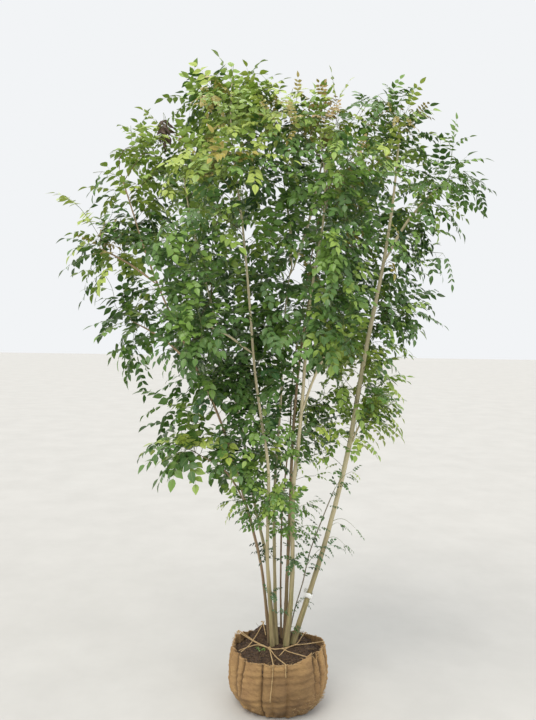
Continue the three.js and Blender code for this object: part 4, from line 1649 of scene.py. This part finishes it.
def rim_height(angles):
    """The height of the cloth's edge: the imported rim's, with its corners, its notch and a ragged hem."""
    height = np.interp(angles, *RIM_HEIGHTS, period=2 * math.pi)
    for degrees, width, lift in RIM_SHAPE.values():
        height = height + lift * bell(angles, degrees, width)
    edge = np.stack([np.cos(angles), np.sin(angles), 0 * angles], axis=-1) * RIM_RADIUS
    return height + lumps(edge, RIM_LUMPS)


def wrap_relief(angles, radii, heights):
    """How far the cloth stands out from the plain cup: wrinkles, grooves, pleats and folds at the foot."""
    share = heights / RIM_MEAN
    level = np.stack([radii * np.cos(angles), radii * np.sin(angles), heights], axis=-1)
    flat = level * np.array([WRINKLE_STRETCH, WRINKLE_STRETCH, 1.0])
    wrinkled = 1.0
    for degrees, width, lost in SMOOTH_SIDES:
        wrinkled = wrinkled - lost * bell(angles, degrees, width)
    relief = wrinkled * WRINKLE_DEPTH * ripple(flat, WRINKLE_HEIGHT, WRINKLE_SEED) + lumps(level, CLOTH_LUMPS)
    for degrees, strength in GROOVES.items():
        across = apart(angles, degrees) * radii / GROOVE_WIDTH
        tight = LEAST_PULL + (1 - LEAST_PULL) * np.sin(math.pi * np.clip(share, 0, 1)) ** 0.7
        sag = PANEL_SAG * np.exp(-((across * GROOVE_WIDTH / PANEL_WIDTH) ** 2))
        relief -= (GROOVE_DEPTH * strength * np.exp(-(across**2)) + sag) * tight
    for strength, across in across_pleats(angles, radii, share):
        depth = PLEAT_DEPTH * strength**0.5 * np.clip(share, 0, 1) ** PLEAT_FALL
        relief += depth * across * np.exp(-(across**2))
    bunch = np.clip(1 - heights / BUNCH_HEIGHT, 0, 1) * np.clip(heights / BUNCH_FOOT, 0, 1)
    relief += BUNCH_DEPTH * bunch * ripple(level * BUNCH_STRETCH, BUNCH_WIDTH, BUNCH_SEED)
    pull = np.exp(-((apart(angles, RIM_SHAPE["left_corner"][0]) / CORNER_WIDTH) ** 2))
    return relief - CORNER_PULL * pull * np.clip(share, 0, 1) ** 3


def damp_and_shade_share(angles, radii, heights):
    """How dark each place is, nothing to one: the real damp, and painted shade deep in a groove or a pleat."""
    share = np.clip(heights / RIM_MEAN, 0, 1)
    damp = DAMP_SHARE * bell(angles, DAMP_SIDE, DAMP_WIDTH, 4)
    crease = damp * (1 - DRY_RIM * share**8)
    for degrees, strength in GROOVES.items():
        across = apart(angles, degrees) * radii / (GROOVE_SHADE_WIDTH * GROOVE_WIDTH)
        crease = np.maximum(crease, GROOVE_SHADE * strength * np.exp(-(across**2)))
    for _, across in across_pleats(angles, radii, share):
        shade = np.exp(-(((across + PLEAT_SHADE_PLACE) / PLEAT_SHADE_WIDTH) ** 2))
        crease = np.maximum(crease, share**PLEAT_FALL * shade)
    return crease


def add_turned(gather, rows, foot, tip):
    """A closed body of rings, from the middle of its foot round to the middle of its top."""
    quads, triangles = tube_faces(len(rows), len(rows[0]))
    gather.add(np.concatenate([np.concatenate(rows), [foot], [tip]]), quads, triangles)


def ring(angles, radii, heights):
    return np.stack(np.broadcast_arrays(radii * np.cos(angles), radii * np.sin(angles), heights), axis=-1)


def make_wrap():
    """The cloth: under the ball, up its side, over the rim and down inside it, with its weave, creases, damp
    and painted shade.
    """
    angles = ways_about(WRAP_COLUMNS)
    rim = rim_height(angles)
    rows = [ring(angles, WRAP_PROFILE[0, 0] * share, 0.0) for share in UNDERSIDE_RINGS]
    runs = [WRAP_PROFILE[0, 0] * (share - 1) for share in UNDERSIDE_RINGS]
    # Painted shade under the ball; up the side, the damp and painted shade in grooves and pleats
    damp_and_shade_rows = [np.full(WRAP_COLUMNS, INNER_SHADE)] * len(UNDERSIDE_RINGS)
    run = path_length(WRAP_PROFILE)
    for place, length in zip(WRAP_PROFILE, run):
        heights = place[2] + (rim - RIM_MEAN) * (place[2] / RIM_MEAN) ** 2
        radii = place[0] + wrap_relief(angles, place[0], heights)
        rows.append(ring(angles, radii, heights))
        damp_and_shade_rows.append(damp_and_shade_share(angles, place[0], heights))
        runs.append(length)
    edge = np.hypot(rows[-1][:, 0], rows[-1][:, 1])
    for inset, drop in RIM_TURN:
        inner = np.minimum(edge - inset * CLOTH_THICKNESS, RIM_RADIUS)
        rows.append(ring(angles, inner, np.maximum(rim - drop, SOIL_TOP - TUCK_DEPTH)))
        # Painted shade on the cloth turned in over the rim
        damp_and_shade_rows.append(np.full(WRAP_COLUMNS, INNER_SHADE * min(1, inset)))
        runs.append(run[-1] + inset * CLOTH_THICKNESS + min(drop, TUCK_DEPTH))
    gather = Gather()
    add_turned(gather, rows, (0, 0, 0), (0, 0, SOIL_TOP - TUCK_DEPTH))
    piece = gather.piece("burlap_cloth", JUTE)
    lay_weave(piece, np.repeat(runs, WRAP_COLUMNS))
    mark = piece.data.attributes.new("crease", "FLOAT", "POINT")
    mark.data.foreach_set("value", np.append(np.concatenate(damp_and_shade_rows), [INNER_SHADE, INNER_SHADE]))
    finish_piece(piece, ["burlap_wrap"])


def lay_weave(piece, runs):
    """A UV map in metres for the weave: round the ball, and up the cloth from its foot."""
    mesh = piece.data
    layer = mesh.uv_layers.new(name="weave")
    corners = np.empty(len(mesh.loops), int)
    mesh.loops.foreach_get("vertex_index", corners)
    width = WEAVE_YARNS * YARN_PITCH
    columns = np.arange(WRAP_COLUMNS) / WRAP_COLUMNS * width
    across = np.append(np.tile(columns, len(runs) // WRAP_COLUMNS), [0, 0])
    upward = np.append(runs, [runs[0], runs[-1]])
    places = np.stack([across[corners], upward[corners]], axis=1)
    quads = places[: 4 * sum(len(face.vertices) == 4 for face in mesh.polygons)].reshape(-1, 4, 2)
    seam = quads[:, :, 0].max(1) - quads[:, :, 0].min(1) > width / 2
    quads[seam] += np.where(quads[seam][:, :, :1] < width / 2, (width, 0), (0, 0))
    layer.uv.foreach_set("vector", places.ravel())


make_wrap()


# The soil: loose loam that stands a little higher round each stem, under crumbs and cut roots

SOIL_COLUMNS = 240
SOIL_RINGS = 64
SOIL_MIDDLE = 0.015
SOIL_EDGE = 0.1785
SOIL_FLAT = 0.084
SOIL_DROP = 0.014
SOIL_SKIRT = 0.022
MOUND = 0.0032
MOUND_WIDTH = 0.02
MOUND_SMOOTHING = 0.7
# Heaps of leaf litter: the middle (x, y), the width and the height
HEAPS = {
    "back_left": (-0.05, 0.125, 0.06, 0.046),
    "back": (0.03, 0.15, 0.05, 0.014),
    "left": (-0.14, 0.03, 0.035, 0.008),
    "right": (0.13, 0.02, 0.035, 0.007),
}


def soil_height(places):
    """The top of the soil at each place (x, y)."""
    x, y = places[..., 0], places[..., 1]
    reach = np.hypot(x, y)
    fall = SOIL_DROP * np.clip((reach - SOIL_FLAT) / (SOIL_EDGE - SOIL_FLAT), 0, 1)
    relief = lumps(np.stack([x, y, 0 * reach], axis=-1), SOIL_LUMPS)
    near = np.stack([np.hypot(x - path[0, 0], y - path[0, 1]) for path, _ in STEMS.values()]).min(0)
    mound = np.exp(-((near / MOUND_WIDTH) ** 2))
    heaped = sum(
        height * np.exp(-(((x - right) ** 2 + (y - back) ** 2) / width**2))
        for right, back, width, height in HEAPS.values()
    )
    return SOIL_TOP - fall + relief * (1 - MOUND_SMOOTHING * mound) + MOUND * mound + heaped


def make_soil():
    """The loam's closed body: a flat foot inside the ball, a low side and the top with its relief."""
    angles = ways_about(SOIL_COLUMNS)
    low = SOIL_TOP - SOIL_DROP - SOIL_SKIRT
    rows = [ring(angles, SOIL_EDGE * 0.5, low), ring(angles, SOIL_EDGE, low)]
    for share in np.linspace(1, SOIL_MIDDLE, SOIL_RINGS):
        level = ring(angles, SOIL_EDGE * share, 0.0)
        rows.append(ring(angles, SOIL_EDGE * share, soil_height(level)))
    gather = Gather()
    add_turned(gather, rows, (0, 0, low), (0, 0, float(soil_height(np.zeros((1, 3)))[0])))
    finish_piece(gather.piece("loam_top", LOAM), ["root_ball_soil"])


make_soil()


# Scattered bits: crumbs and straw on the soil, and fibres that stand out of the cloth

# The inputs of their trees: how many lie on a square metre, the least and the greatest size in metres (of a
# crumb its radius, of a fibre its length), a fibre's radius beside its length, and the seed
CRUMB_SIZES = {"Density": 15000.0, "Smallest": 0.001, "Largest": 0.0042, "Seed": 5}
STRAW_SIZES = {"Density": 1500.0, "Thickness": 0.026, "Smallest": 0.01, "Largest": 0.04, "Seed": 9}
FIBRE_SIZES = {"Thickness": 0.05, "Smallest": 0.005, "Largest": 0.015, "Seed": 3}
STRAW_BOW = 0.12
FIBRE_BOW = 0.22
# How far bits are turned about each axis, in radians, from and to: crumbs every way, straw tipped nearly flat
CRUMB_TURNS = ((0, 0, 0), (2 * math.pi,) * 3)
STRAW_TURNS = ((1.36, 0, 0), (1.62, 0, 2 * math.pi))
SCATTER_COLUMNS = 90
SCATTER_RINGS = 24
SCATTER_SPAN = (0.97, 0.03)


def start_tree(name, sizes):
    """A Geometry Nodes tree with a geometry and named sizes as its inputs, and the sockets that give them."""
    tree = bpy.data.node_groups.new(name, "GeometryNodeTree")
    tree.interface.new_socket("Geometry", in_out="INPUT", socket_type="NodeSocketGeometry")
    for label, value in sizes.items():
        kind = "NodeSocketInt" if isinstance(value, int) else "NodeSocketFloat"
        tree.interface.new_socket(label, in_out="INPUT", socket_type=kind).default_value = value
    tree.interface.new_socket("Geometry", in_out="OUTPUT", socket_type="NodeSocketGeometry")
    return tree, add(tree, "NodeGroupInput").outputs


def scattered(tree, points, shape, turn, given, material):
    """The tree's last steps: a shape on every point, of a seeded size, made real and given its material."""
    size = add(
        tree, "FunctionNodeRandomValue",
        {NUMBER_FROM: given["Smallest"], NUMBER_TO: given["Largest"], "Seed": given["Seed"]},
        data_type="FLOAT",
    )
    placed = add(
        tree, "GeometryNodeInstanceOnPoints",
        {"Points": points, "Instance": shape, "Rotation": turn, "Scale": size.outputs[NUMBER_OUT]},
    )
    real = add(tree, "GeometryNodeRealizeInstances", {"Geometry": placed.outputs[0]})
    dressed = add(tree, "GeometryNodeSetMaterial", {"Geometry": real.outputs[0], "Material": material})
    add(tree, "NodeGroupOutput", {"Geometry": dressed.outputs[0]})


def bowed_fibre(tree, bow, thickness):
    """A thin three-sided fibre one unit long, from the origin up Z and off to one side."""
    curve = add(
        tree, "GeometryNodeCurveQuadraticBezier",
        {"Resolution": 4, "Start": (0, 0, 0), "Middle": (bow, bow / 2, 0.5), "End": (-bow, bow, 1)},
    )
    section = add(tree, "GeometryNodeCurvePrimitiveCircle", {"Resolution": 3, "Radius": thickness})
    return add(
        tree, "GeometryNodeCurveToMesh",
        {"Curve": curve.outputs[0], "Profile Curve": section.outputs[0], "Fill Caps": True},
    ).outputs[0]


def strewn_tree(name, sizes, make_shape, turns, material):
    """Seeded copies of a shape all over a surface, each turned its own way between two given turns."""
    tree, given = start_tree(name, sizes)
    spread = add(
        tree, "GeometryNodeDistributePointsOnFaces",
        {"Mesh": given["Geometry"], "Density": given["Density"], "Seed": given["Seed"]},
    )
    turn = add(
        tree, "FunctionNodeRandomValue",
        {VECTOR_FROM: turns[0], VECTOR_TO: turns[1], "Seed": given["Seed"]}, data_type="FLOAT_VECTOR",
    )
    scattered(tree, spread.outputs[0], make_shape(tree, given), turn.outputs[0], given, material)
    return tree


def crumb(tree, given):
    """An angular crumb of loam, a little flattened."""
    ball = add(tree, "GeometryNodeMeshIcoSphere", {"Radius": 1.0, "Subdivisions": 1})
    squat = add(tree, "GeometryNodeTransform", {"Geometry": ball.outputs[0], "Scale": (1.0, 0.8, 0.6)})
    return squat.outputs[0]


def straw(tree, given):
    """A bit of straw or cut root, a little bowed."""
    return bowed_fibre(tree, STRAW_BOW, given["Thickness"])


def fray_tree():
    """Loose fibres that stand out of chosen places, each along the place's own way."""
    tree, given = start_tree("frayed_fibres", FIBRE_SIZES)
    points = add(tree, "GeometryNodeMeshToPoints", {"Mesh": given["Geometry"]})
    fibre = bowed_fibre(tree, FIBRE_BOW, given["Thickness"])
    way = add(tree, "GeometryNodeInputNamedAttribute", {"Name": "way"}, data_type="FLOAT_VECTOR")
    turn = add(tree, "FunctionNodeAlignRotationToVector", {"Vector": way.outputs[0]}, axis="Z")
    scattered(tree, points.outputs[0], fibre, turn.outputs[0], given, TWINE)
    return tree


def grow_piece(base, tree, sizes, name, nodes):
    """Runs a tree over a base mesh and keeps the result as a plain joined piece."""
    holder = show(name + "_base", base)
    modifier = holder.modifiers.new("scatter", "NODES")
    modifier.node_group = tree
    for socket in tree.interface.items_tree:
        if socket.in_out == "INPUT" and socket.name in sizes:
            modifier[socket.identifier] = sizes[socket.name]
    depsgraph = bpy.context.evaluated_depsgraph_get()
    mesh = bpy.data.meshes.new_from_object(holder.evaluated_get(depsgraph))
    holder.modifiers.clear()
    bpy.data.objects.remove(holder)
    mesh.name = name
    finish_piece(show(name, mesh), nodes)


def soil_surface():
    """The open top of the soil, which the crumbs and straw are scattered on."""
    angles = ways_about(SCATTER_COLUMNS)
    rows = [ring(angles, SOIL_EDGE * share, 0.0) for share in np.linspace(*SCATTER_SPAN, SCATTER_RINGS)]
    rows = [np.stack([row[:, 0], row[:, 1], soil_height(row)], axis=1) for row in rows]
    quads = tube_faces(len(rows), len(angles))[0]
    mesh = bpy.data.meshes.new("soil_surface")
    mesh.from_pydata(np.concatenate(rows).tolist(), [], quads.tolist())
    return mesh


# Fibres along the cloth's edge: how many, and from which way round to which, in degrees
EDGE_FIBRES = ((90, -180, 180), (90, -115, -10), (30, 145, 200))
# The worn patch low on the right: its fibres, its middle and spread round in degrees, its height and spread
WORN_FIBRES = 240
WORN_SIDE = (-35, 14)
WORN_HEIGHT = (0.04, 0.025)
# How far the fibres lean aside in radians and how much they rise, at the edge and in the worn patch
EDGE_ASIDE = 1.3
EDGE_RISE = (-0.4, 0.8)
WORN_ASIDE = 0.9
WORN_RISE = (-0.35, 0.4)
FIBRE_ROOT = 0.001
FRAY_SEED = 23


def fray_places():
    """Where fibres stand out: along the cloth's edge, mostly at the front right, and low on the right."""
    rng = np.random.default_rng(FRAY_SEED)
    places, ways = [], []
    for count, start, finish in EDGE_FIBRES:
        angles = np.radians(rng.uniform(start, finish, count))
        height = rim_height(angles) - FIBRE_ROOT
        reach = RIM_RADIUS + rng.uniform(-CLOTH_THICKNESS, 0.0, count)
        places.append(ring(angles, reach, height))
        aside = angles + rng.choice([-EDGE_ASIDE, EDGE_ASIDE], count)
        ways.append(ring(aside, 1.0, rng.uniform(*EDGE_RISE, count)))
    angles = np.radians(rng.normal(*WORN_SIDE, WORN_FIBRES))
    heights = np.maximum(np.abs(rng.normal(*WORN_HEIGHT, WORN_FIBRES)), FRAY_LOWEST)
    reach = np.interp(heights, WRAP_PROFILE[:, 2], WRAP_PROFILE[:, 0]) - FIBRE_ROOT
    places.append(ring(angles, reach, heights))
    aside = angles + rng.normal(0, WORN_ASIDE, WORN_FIBRES)
    ways.append(ring(aside, 1.0, rng.uniform(*WORN_RISE, WORN_FIBRES)))
    return np.concatenate(places), np.concatenate(ways)


def make_fray():
    places, ways = fray_places()
    mesh = bpy.data.meshes.new("fray_places")
    mesh.from_pydata(places.tolist(), [], [])
    mesh.attributes.new("way", "FLOAT_VECTOR", "POINT").data.foreach_set("vector", ways.ravel())
    grow_piece(mesh, fray_tree(), FIBRE_SIZES, "frayed_fibres", ["burlap_wrap"])


def scatter_on_soil():
    surface = soil_surface()
    crumbs = strewn_tree("loam_crumbs", CRUMB_SIZES, crumb, CRUMB_TURNS, CRUMBS)
    grow_piece(surface, crumbs, CRUMB_SIZES, "loam_crumbs", ["root_ball_soil"])
    straws = strewn_tree("straw_bits", STRAW_SIZES, straw, STRAW_TURNS, STRAW)
    grow_piece(surface, straws, STRAW_SIZES, "straw_bits", ["root_ball_soil"])


make_fray()
scatter_on_soil()


# Twine: two-ply strands from a knot in front of the stems, over the rim and down the cloth

PLY_RADIUS = 0.0013
PLY_OFFSET = 0.0011
TWINE_PITCH = 0.009
PLY_SIDES = 5
TWINE_STEP = 0.002
TWINE_GAP = 0.0012
STRAND_LOWEST = 0.014
KNOT = np.array([-0.035, -0.025, SOIL_TOP + 0.0085])
KNOT_TURNS = 3
KNOT_RADIUS = 0.0052
KNOT_POINTS = 12
# How the knot's turns lie, in radians: how far each swings round from the last, the first's tilt and what the
# next ones add to it
KNOT_SWING = 1.1
KNOT_TILT = (0.9, 0.5)
# Where each strand crosses the rim, in degrees, its places from the knot (x, y, height over the soil), how
# far it drifts round the ball on its way down, in degrees, and how low it ends; one ends at the rim
STRANDS = {
    "left_first": (153, [(-0.094, 0.034, 0.01)], 3, STRAND_LOWEST),
    "left_second": (156, [(-0.096, 0.026, 0.012)], 6, STRAND_LOWEST),
    "front": (-97, [(-0.027, -0.095, 0.006)], -5, 0.085),
    "front_right": (-82, [(-0.008, -0.099, 0.008)], 3, 0.178),
    "at_rim": (-52, [(-0.012, -0.027, 0.006), (0.018, -0.023, 0.007), (0.04, -0.045, 0.006)], None, None),
    "right": (
        -1,
        [(-0.008, -0.024, 0.006), (0.03, -0.018, 0.008), (0.066, 0.008, 0.008), (0.112, 0.022, 0.007)],
        0,
        STRAND_LOWEST,
    ),
}
STRAND_TUCK = 0.004
# How far in and down a strand is drawn at the rim, and how far below it the way down the cloth starts
RIM_DRAW = (0.002, 0.001)
RIM_BEND = 0.012
STRAND_STEPS = 16
# How far twine keeps off a stem's middle beside its radius, so that it clears the bark's relief
BARK_ROOM = 1.1
# How far a strand is pressed into the cloth at the foot, beside its thickness
STRAND_SINK = 1.8
# Loose ends and strands that don't start at the knot: their places (x, y, height over the soil)
LOOSE_STRANDS = {
    "left_tail": [
        (-0.035, -0.025, 0.009), (-0.064, -0.012, 0.012), (-0.09, 0.004, 0.009), (-0.13, 0.002, -0.003),
        (-0.158, -0.014, -0.008),
    ],
    "back_left": [
        (-0.15, -0.03, -0.006), (-0.118, 0.013, 0.002), (-0.088, 0.066, 0.024), (-0.058, 0.128, 0.054),
    ],
    "hanging_end": [
        (-0.071, 0.156, 0.04), (-0.064, 0.128, 0.052), (-0.058, 0.095, 0.044), (-0.05, 0.066, 0.022),
    ],
}
# Strands that go on over the rim: the way round where each crosses it, and its places in the same way
LOOPS = {
    "back_left": (115, [(-0.058, 0.128, 0.054)]),
    "back_right": (50, [
        (0.003, -0.075, 0.001), (0.034, -0.02, 0.007), (0.068, 0.012, 0.007), (0.084, 0.042, 0.006),
        (0.1, 0.088, 0.008),
    ]),
}


def clear_of_stems(path):
    """Pushes the twine out of any stem that it would pass through."""
    for stem, radii in STEMS.values():
        for place in path:
            level = int(np.abs(stem[:, 2] - place[2]).argmin())
            gap = place[:2] - stem[level, :2]
            wanted = radii[level] * BARK_ROOM + PLY_RADIUS + PLY_OFFSET
            reach = np.linalg.norm(gap)
            if reach < wanted:
                place[:2] = stem[level, :2] + gap / max(reach, 1e-6) * wanted
    return path


def over_soil(places):
    return [(x, y, SOIL_TOP + lift) for x, y, lift in places]


def add_twine(gather, route):
    """Two plies wound round each other along a smooth path through the route's places."""
    path = clear_of_stems(smooth_path(route, TWINE_STEP))
    _, across, up = path_frames(path)
    turn = 2 * math.pi * path_length(path) / TWINE_PITCH
    for ply in (0, math.pi):
        aside = across * np.cos(turn + ply)[:, None] + up * np.sin(turn + ply)[:, None]
        add_tube(gather, path + PLY_OFFSET * aside, np.full(len(path), PLY_RADIUS), PLY_SIDES)


def down_the_cloth(degrees, drift, lowest=STRAND_LOWEST):
    """Over the rim at a way round, and down the groove in the cloth, pressed further into it as it falls."""
    angle = math.radians(degrees)
    stand = PLY_RADIUS + PLY_OFFSET + TWINE_GAP
    top = float(rim_height(np.array([angle]))[0]) + stand
    inside = ring(angle, RIM_RADIUS - CLOTH_THICKNESS - stand, top)
    outside = ring(angle, RIM_RADIUS + stand - RIM_DRAW[0], top - RIM_DRAW[1])
    down = []
    for height in np.linspace(top - RIM_BEND, lowest, STRAND_STEPS):
        turned = angle + math.radians(drift) * (1 - height / top) ** 1.5
        reach = np.interp(height, WRAP_PROFILE[:, 2], WRAP_PROFILE[:, 0])
        relief = wrap_relief(np.array([turned]), reach, np.array([height]))[0]
        sunk = stand * STRAND_SINK * (1 - height / top)
        down.append(ring(turned, reach + relief + stand - sunk, height))
    return [inside, outside, *down]


def behind_the_cloth(degrees):
    """Just inside the rim at a way round, a little below its edge."""
    angle = math.radians(degrees)
    edge = float(rim_height(np.array([angle]))[0])
    return ring(angle, RIM_RADIUS - CLOTH_THICKNESS - PLY_RADIUS, edge - STRAND_TUCK)


def make_twine():
    """The strands from the knot, the loose ones, the loops over the rim and the knot's own turns."""
    gather = Gather()
    for degrees, places, drift, lowest in STRANDS.values():
        ending = [behind_the_cloth(degrees)] if drift is None else down_the_cloth(degrees, drift, lowest)
        add_twine(gather, np.array([KNOT, *over_soil(places), *ending]))
    for places in LOOSE_STRANDS.values():
        add_twine(gather, np.array(over_soil(places)))
    for degrees, places in LOOPS.values():
        add_twine(gather, np.array([*over_soil(places), *down_the_cloth(degrees, 0)]))
    for turn in range(KNOT_TURNS):
        phases = np.linspace(0, 2 * math.pi, KNOT_POINTS, endpoint=False)
        tilt = Matrix.Rotation(KNOT_TILT[0] + KNOT_TILT[1] * turn, 3, "X")
        lie = Matrix.Rotation(turn * KNOT_SWING, 3, "Z") @ tilt
        circle = [Vector((math.cos(phase), math.sin(phase), 0)) for phase in phases]
        loop = [np.array(lie @ way) * KNOT_RADIUS for way in circle]
        add_twine(gather, KNOT + np.array(loop + loop[:1]))
    finish_piece(gather.piece("jute_twine", TWINE), ["ball_twine"])


make_twine()


# The tie: white tape wound twice round the right stem, with its end folded out

TAPE_WIDTH = 0.019
TAPE_THICKNESS = 0.0016
TAPE_TURNS = 2
TAPE_STEPS = 90
TAPE_START = -2.3
TAPE_ROOM = 1.12
TAPE_LEAN = 0.0025
TAPE_BOW = 0.0007
TAPE_SLACK = (0.0012, 0.0028)
# How far the folded end stands out, and the share of the winding from which it does
TAB_LENGTH = 0.018
TAB_FROM = 0.96
# The tape's section: places across it, beside its width, and which face each is on
TAPE_SECTION = ((-0.5, 0), (-0.2, 0), (0.2, 0), (0.5, 0), (0.5, 1), (0.2, 1), (-0.2, 1), (-0.5, 1))


def make_tape():
    """The tape as one closed band that winds round the stem's own direction where its label is packed."""
    low, high = [np.array(corner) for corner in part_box("stem_label")]
    middle = (low[2] + high[2]) / 2
    path, radii = STEMS["stem_right"]
    level = int(np.abs(path[:, 2] - middle).argmin())
    centre, along = path[level], unit(path[level + 2] - path[level - 2])
    across = unit(np.cross(along, UP))
    out = np.cross(along, across)
    stem_radius = radii[level] * TAPE_ROOM
    rows = []
    for step in range(TAPE_STEPS + 1):
        share = step / TAPE_STEPS
        angle = TAPE_START + 2 * math.pi * TAPE_TURNS * share
        slack = TAPE_SLACK[0] + (TAPE_SLACK[1] - TAPE_SLACK[0]) * share
        loose = slack + max(0.0, share - TAB_FROM) * TAB_LENGTH / (1 - TAB_FROM)
        lean = TAPE_LEAN * math.sin(3.1 * angle + 1)
        way = across * math.cos(angle) + out * math.sin(angle)
        for side, depth in TAPE_SECTION:
            reach = stem_radius + loose + depth * TAPE_THICKNESS + TAPE_BOW * math.cos(math.pi * side)
            rows.append(centre + way * reach + along * (side * TAPE_WIDTH + lean))
    points = np.array(rows).reshape(TAPE_STEPS + 1, len(TAPE_SECTION), 3)
    gather = Gather()
    add_turned(gather, list(points), points[0].mean(0), points[-1].mean(0))
    finish_piece(gather.piece("stem_tape", WHITE_TAPE), ["stem_label"])


make_tape()


# Stage, light and the last lines

FLOOR_REACH = 40


def plain_floor():
    """A matt painted studio floor."""
    corners = [(x * FLOOR_REACH, y * FLOOR_REACH, 0) for x, y in ((-1, -1), (1, -1), (1, 1), (-1, 1))]
    mesh = bpy.data.meshes.new("floor")
    mesh.from_pydata(corners, [], [(0, 1, 2, 3)])
    mesh.materials.append(mottled("studio_floor", "#c3c1bc", "#bdbbb6", 0.4, roughness=0.85, depth=0.0001))
    floor = show("floor", mesh)


def soft_sun(name, place, strength, spread, tone):
    """An even light from one side that doesn't fall off over the floor, with soft-edged shadows."""
    data = bpy.data.lights.new(name, "SUN")
    data.energy = strength
    data.angle = math.radians(spread)
    data.color = colour(tone)[:3]
    show(name, data).rotation_euler = (-Vector(place)).to_track_quat("-Z", "Y").to_euler()


# The lights: where each comes from, its strength, its breadth in degrees and its colour
SUNS = {
    "key": ((-2.0, -2.6, 5.0), 1.55, 40, "#fffaf2"),
    "fill": ((3.0, -3.0, 2.4), 0.6, 60, "#f4f8ff"),
    "back": ((0.5, 4.0, 4.0), 0.55, 50, "#ffffff"),
}


def studio_light():
    """An even pale light all round, and three soft ones: from the left, from the right and from behind."""
    world = bpy.data.worlds.new("studio")
    world.use_nodes = True
    background = world.node_tree.nodes["Background"]
    background.inputs["Color"].default_value = colour("#f2f4f6")
    background.inputs["Strength"].default_value = 1.0
    bpy.context.scene.world = world
    for name, sun in SUNS.items():
        soft_sun(name, *sun)


plain_floor()
studio_light()
bpy.context.scene.view_settings.view_transform = "Standard"
